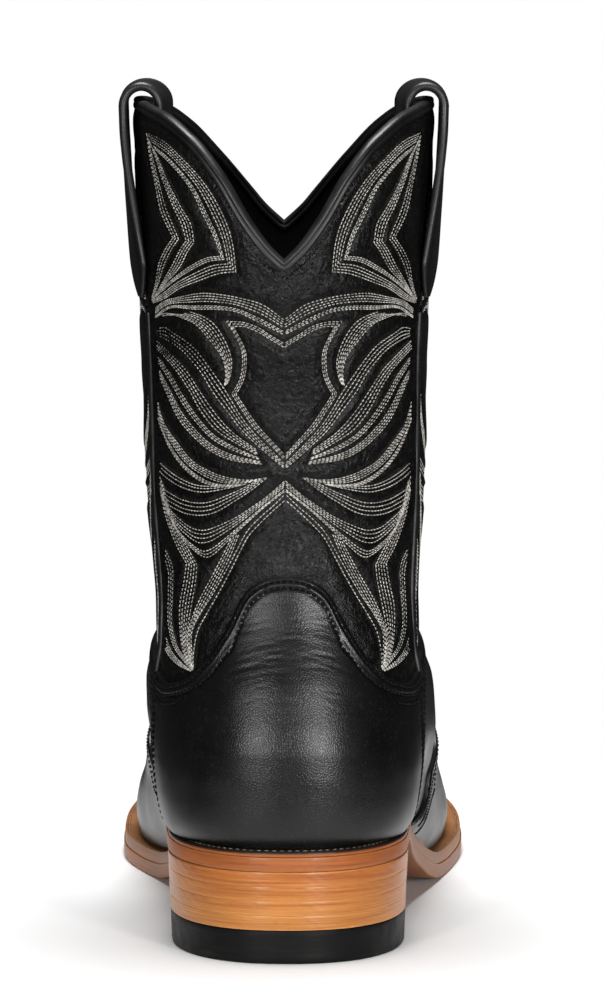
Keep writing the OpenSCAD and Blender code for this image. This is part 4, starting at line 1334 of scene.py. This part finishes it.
def slab_mesh(name, angles, edge, low, high, profile, material):
    """A plate inside an outline: strips up its edge, then a bottom and a top surface. The angles run
    from 0 to 180 and serve both sides. The profile holds insets and shares of the thickness, upward."""
    full = np.concatenate([angles, -angles[-2:0:-1]])
    loops = []
    for inset, share in profile:
        p = edge(full, inset)
        loops.append(np.stack([p[:, 0], p[:, 1], mix(low(p[:, 1]), high(p[:, 1]), share)], axis=1))
    points = np.array(loops)
    count, total = len(full), points.size // 3
    ids = index_grid(len(profile), count)
    faces = [closed_quads(ids)]
    extra = []
    for loop, surface, turned in ((0, low, True), (len(profile) - 1, high, False)):
        right = ids[loop, 1:len(angles) - 1]
        left = ids[loop, :len(angles) - 1:-1]
        p, q = points.reshape(-1, 3)[left], points.reshape(-1, 3)[right]
        inner = mix(p[:, None], q[:, None], np.linspace(0, 1, SLAB_STEPS + 1)[1:-1][:, None])
        inner[..., 2] = surface(inner[..., 1])
        first = total + sum(e.size // 3 for e in extra)
        between = index_grid(*inner.shape[:2], first=first)
        grid = np.concatenate([left[:, None], between, right[:, None]], axis=1)
        extra.append(inner)
        heel = np.full(SLAB_STEPS, ids[loop, 0])
        toe = np.full(SLAB_STEPS, ids[loop, len(angles) - 1])
        cap = [quads(grid), np.stack([heel, grid[0, 1:], grid[0, :-1]], axis=1),
               np.stack([toe, grid[-1, :-1], grid[-1, 1:]], axis=1)]
        faces += [flipped(f) if turned else f for f in cap]
    points = np.concatenate([points.reshape(-1, 3)] + [e.reshape(-1, 3) for e in extra])
    return add_mesh(name, points, faces, material)


def wavy(inset, angle, size, beat):
    """A hand-trimmed edge: the inset wanders by a few hundredths of a millimetre."""
    return inset + size * (np.sin(angle * beat) + 0.6 * np.sin(angle * beat * 2.3 + 1))


OUTSOLE_PROFILE = [(1.1, 0), (0.5, 0.03), (0.15, 0.12), (0, 0.28), (0.06, 0.5), (0, 0.72), (0.02, 0.94),
                   (0.1, 0.99), (0.4, 1)]
angles = even_angles(lambda a: sole_edge(a, 0), 0, 180, 421)
piece = slab_mesh("outsole", angles, lambda a, inset: sole_edge(a, wavy(inset, a, 0.04, 0.37)),
                  lambda y: outsole_upper(y) - OUTSOLE_THICKNESS, outsole_upper, OUTSOLE_PROFILE, SOLE)
settle(piece, "outsole_leather", "outsole")

# Distance in from the edge and share of the thickness, round the strip from its inner bottom edge
STRIP_SEAM_IN = 2.3
STRIP_SECTION = [(0.4, 0), (0.1, 0.03), (0.02, 0.12), (0, 0.5), (0.05, 0.76), (0.3, 0.94), (0.9, 1),
                 (1.5, 1), (1.9, 0.95), (STRIP_SEAM_IN, 0.87), (2.7, 0.95), (3.1, 1)]


def edge_strip(name, start, stop, inner_inset, slot, material, sewing, count):
    """A strip round the upper: sewn down along a groove, with a trimmed and rounded edge."""
    angle = even_angles(lambda a: sole_edge(a, 0.5), start, stop, count)
    inside = outline(angle, -inner_inset, -inner_inset, 0)
    rim = sole_edge(angle, wavy(0.5, angle, 0.05, 0.45))
    inward = unit(inside - rim)
    flat = [(inside, 0)] + [(rim + d * inward, share) for d, share in STRIP_SECTION] + [(inside, 1)]
    ring = []
    for p, share in flat:
        low, high = outsole_upper(p[:, 1]) + SOLE_GAP, sole_top(p[:, 1])
        ring.append(np.stack([p[:, 0], p[:, 1], mix(low, high, share)], axis=1))
    rings = np.stack(ring, axis=1)
    settle(loft_mesh(name, rings[:, ::-1], material), slot, name)
    seam_line = rim + STRIP_SEAM_IN * inward
    height = sole_top(seam_line[:, 1]) - 0.35
    line = np.column_stack([seam_line, height])
    up = np.tile([0.0, 0.0, 1.0], (len(line), 1))
    settle(stitch_mesh(f"{name}_stitching", [stitches(line, up, 2.6)], 2.0, 0.36, sewing), slot)


edge_strip("welt", 87, 273, 5, "welt_leather", WELT, WELT_THREAD, 361)
edge_strip("heel_rand", -86.6, 86.6, 7, "rand_leather", RAND, SEAT_THREAD, 181)

# ---------------------------------------------------------------- heel
HEEL_TOP = 31
HEEL_MIDDLE = 59
HEEL_BREAST = 71.5
CAP_THICKNESS = 11.4
LIFT_COUNT = 4
LIFT_THICKNESS = (HEEL_TOP - CAP_THICKNESS) / LIFT_COUNT
CORNER_RADIUS = 1.2
# How far the heel's wall stays inside the CAD's, so that its unevenness stays inside too
HEEL_INSET = 0.06


def heel_outline(z, inset):
    """Closed outline of the heel at a height: the round back, the short sides and the straight breast."""
    s = z / HEEL_TOP
    angle = np.radians(np.linspace(-90, 90, 181))
    r = ring_radius(angle, HEEL_SQUARENESS)
    w = mix(39.6, 40.9, s) - inset
    back = mix(1, 0.3, s) + inset
    round_y = HEEL_MIDDLE - (HEEL_MIDDLE - back) * r * np.cos(angle)
    round_part = np.stack([w * r * np.sin(angle), round_y], axis=1)
    corner = mix(39.2, 40.3, s) - inset
    breast = HEEL_BREAST - inset
    side_part = smooth_line([(corner + 0.1, breast - 3), (corner - 0.05, breast - CORNER_RADIUS),
                             (corner - 0.4, breast - 0.4), (corner - CORNER_RADIUS, breast)])
    breast_part = np.column_stack([np.linspace(corner - 3, -corner + 3, 41), np.full(41, breast)])
    mirrored = side_part[::-1] * [-1, 1]
    flat = np.concatenate([round_part, side_part, breast_part, mirrored])
    return np.column_stack([flat, np.full(len(flat), z)])


def heel_slice(name, low, high, rounding, material, slot, phase):
    """One layer of the heel with softly rounded rims and a slightly uneven hand-sanded wall."""
    steps = [(rounding, 0), (rounding * 0.3, 0.25 * rounding), (0, rounding)]
    levels = [(inset, low + rise) for inset, rise in steps]
    levels += [(0, z) for z in np.linspace(low + rounding, high - rounding, 8)[1:-1]]
    levels += [(inset, high - rise) for inset, rise in reversed(steps)]
    count = len(heel_outline(0, 0))
    turn = np.linspace(0, 2 * math.pi, count)
    rings = []
    for inset, z in levels:
        wander = 0.05 * np.sin(turn * 9 + phase) + 0.035 * np.sin(turn * 31 + z * 2.2 + phase)
        rings.append(heel_outline(z, inset + HEEL_INSET))
        rings[-1][:, :2] -= unit(rings[-1][:, :2] - [0, HEEL_MIDDLE - 20]) * wander[:, None]
    settle(loft_mesh(name, rings, material), slot, name)


heel_slice("heel_cap", 0, CAP_THICKNESS, 0.6, RUBBER, "cap_rubber", 0.4)
for number in range(1, LIFT_COUNT + 1):
    low = CAP_THICKNESS + (number - 1) * LIFT_THICKNESS
    heel_slice(f"heel_lift_{number}", low, low + LIFT_THICKNESS, 0.12, LIFT, "lift_leather", number * 1.7)

# ---------------------------------------------------------------- hidden parts kept from the CAD
STEEL = metal("steel", (0.55, 0.55, 0.57), 0.35)
INSOLE = plain_leather("insole_leather", 0.75, 0.3, (60, 5, *PATCH), (0.46, 0.30, 0.17),
                       (0.58, 0.41, 0.25), (200, 3, 0.6, 0.85), (1.1, 0.06))
SOCK = plain_leather("sock_leather", 0.55, 0.4, (50, 5, *PATCH), (0.36, 0.22, 0.12),
                     (0.46, 0.30, 0.17), (120, 3, 0.45, 0.65), (0.9, 0.05))
STIFFENER = stiffener_leather()
KEPT = {"cap_nails": STEEL, "heel_nails": STEEL, "steel_shank": STEEL, "shank_pegs": peg_wood(),
        "cork_filler": cork(), "insole": INSOLE, "heel_sock": SOCK, "heel_stiffener": STIFFENER,
        "toe_puff": STIFFENER, "foot_lining": LINING}
for node_name, material in KEPT.items():
    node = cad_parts[node_name]
    node.data.materials.clear()
    node.data.materials.append(material)

# ---------------------------------------------------------------- camera, floor and light
CAMERA_HEIGHT = 0.445
CAMERA_DISTANCE = 2.6
HEEL_BACK_Y = -SOLE_LENGTH / 2 * MM
VIEW_MIDDLE = Vector((0.0029, HEEL_BACK_Y, 0.1554))
FOCAL_LENGTH = 283


def aim(obj, target):
    obj.rotation_euler = (target - obj.location).to_track_quat("-Z", "Y").to_euler()


camera = bpy.data.objects.new("camera", bpy.data.cameras.new("camera"))
bpy.context.scene.collection.objects.link(camera)
camera.location = (-SOLE_MIDDLE_X * MM, HEEL_BACK_Y - CAMERA_DISTANCE, CAMERA_HEIGHT)
camera.data.lens = FOCAL_LENGTH
camera.data.clip_end = 50
aim(camera, VIEW_MIDDLE)
bpy.context.scene.camera = camera


def backdrop():
    """A sheet of paper under the boot."""
    rows = np.array([[(x, y, 0) for x in np.linspace(-0.15, 0.15, 9)] for y in np.linspace(-0.28, 0.32, 9)])
    rows = rows / MM - PLACE
    return add_mesh("floor", rows, [quads(index_grid(*rows.shape[:2]))], floor_paper(), sharp=None)


backdrop()


def softbox(name, place, target, width, height, power):
    light = bpy.data.lights.new(name, "AREA")
    light.shape = "ELLIPSE"
    light.size, light.size_y, light.energy = width, height, power
    obj = bpy.data.objects.new(name, light)
    bpy.context.scene.collection.objects.link(obj)
    obj.location = place
    aim(obj, Vector(target))


softbox("key_left", (-0.85, -2.0, 0.36), (0, -0.1, 0.15), 0.30, 0.7, 20)
softbox("key_right", (0.92, -2.0, 0.36), (0, -0.1, 0.15), 0.34, 0.7, 31)
softbox("top", (0, 0, 1.6), (0, 0, 0.0), 0.9, 0.9, 34)

# The camera sees a white room, and the boot gets only a little of its light
FILL = 0.03
world = bpy.data.worlds.new("studio")
bpy.context.scene.world = world
world.use_nodes = True
sky = world.node_tree.nodes["Background"]
sky.inputs["Color"].default_value = (1, 1, 1, 1)
seen = world.node_tree.nodes.new("ShaderNodeLightPath")
level_of_light = world.node_tree.nodes.new("ShaderNodeMapRange")
level_of_light.inputs["To Min"].default_value = FILL
level_of_light.inputs["To Max"].default_value = 1.0
world.node_tree.links.new(seen.outputs["Is Camera Ray"], level_of_light.inputs["Value"])
world.node_tree.links.new(level_of_light.outputs["Result"], sky.inputs["Strength"])
bpy.context.scene.view_settings.view_transform = "Standard"
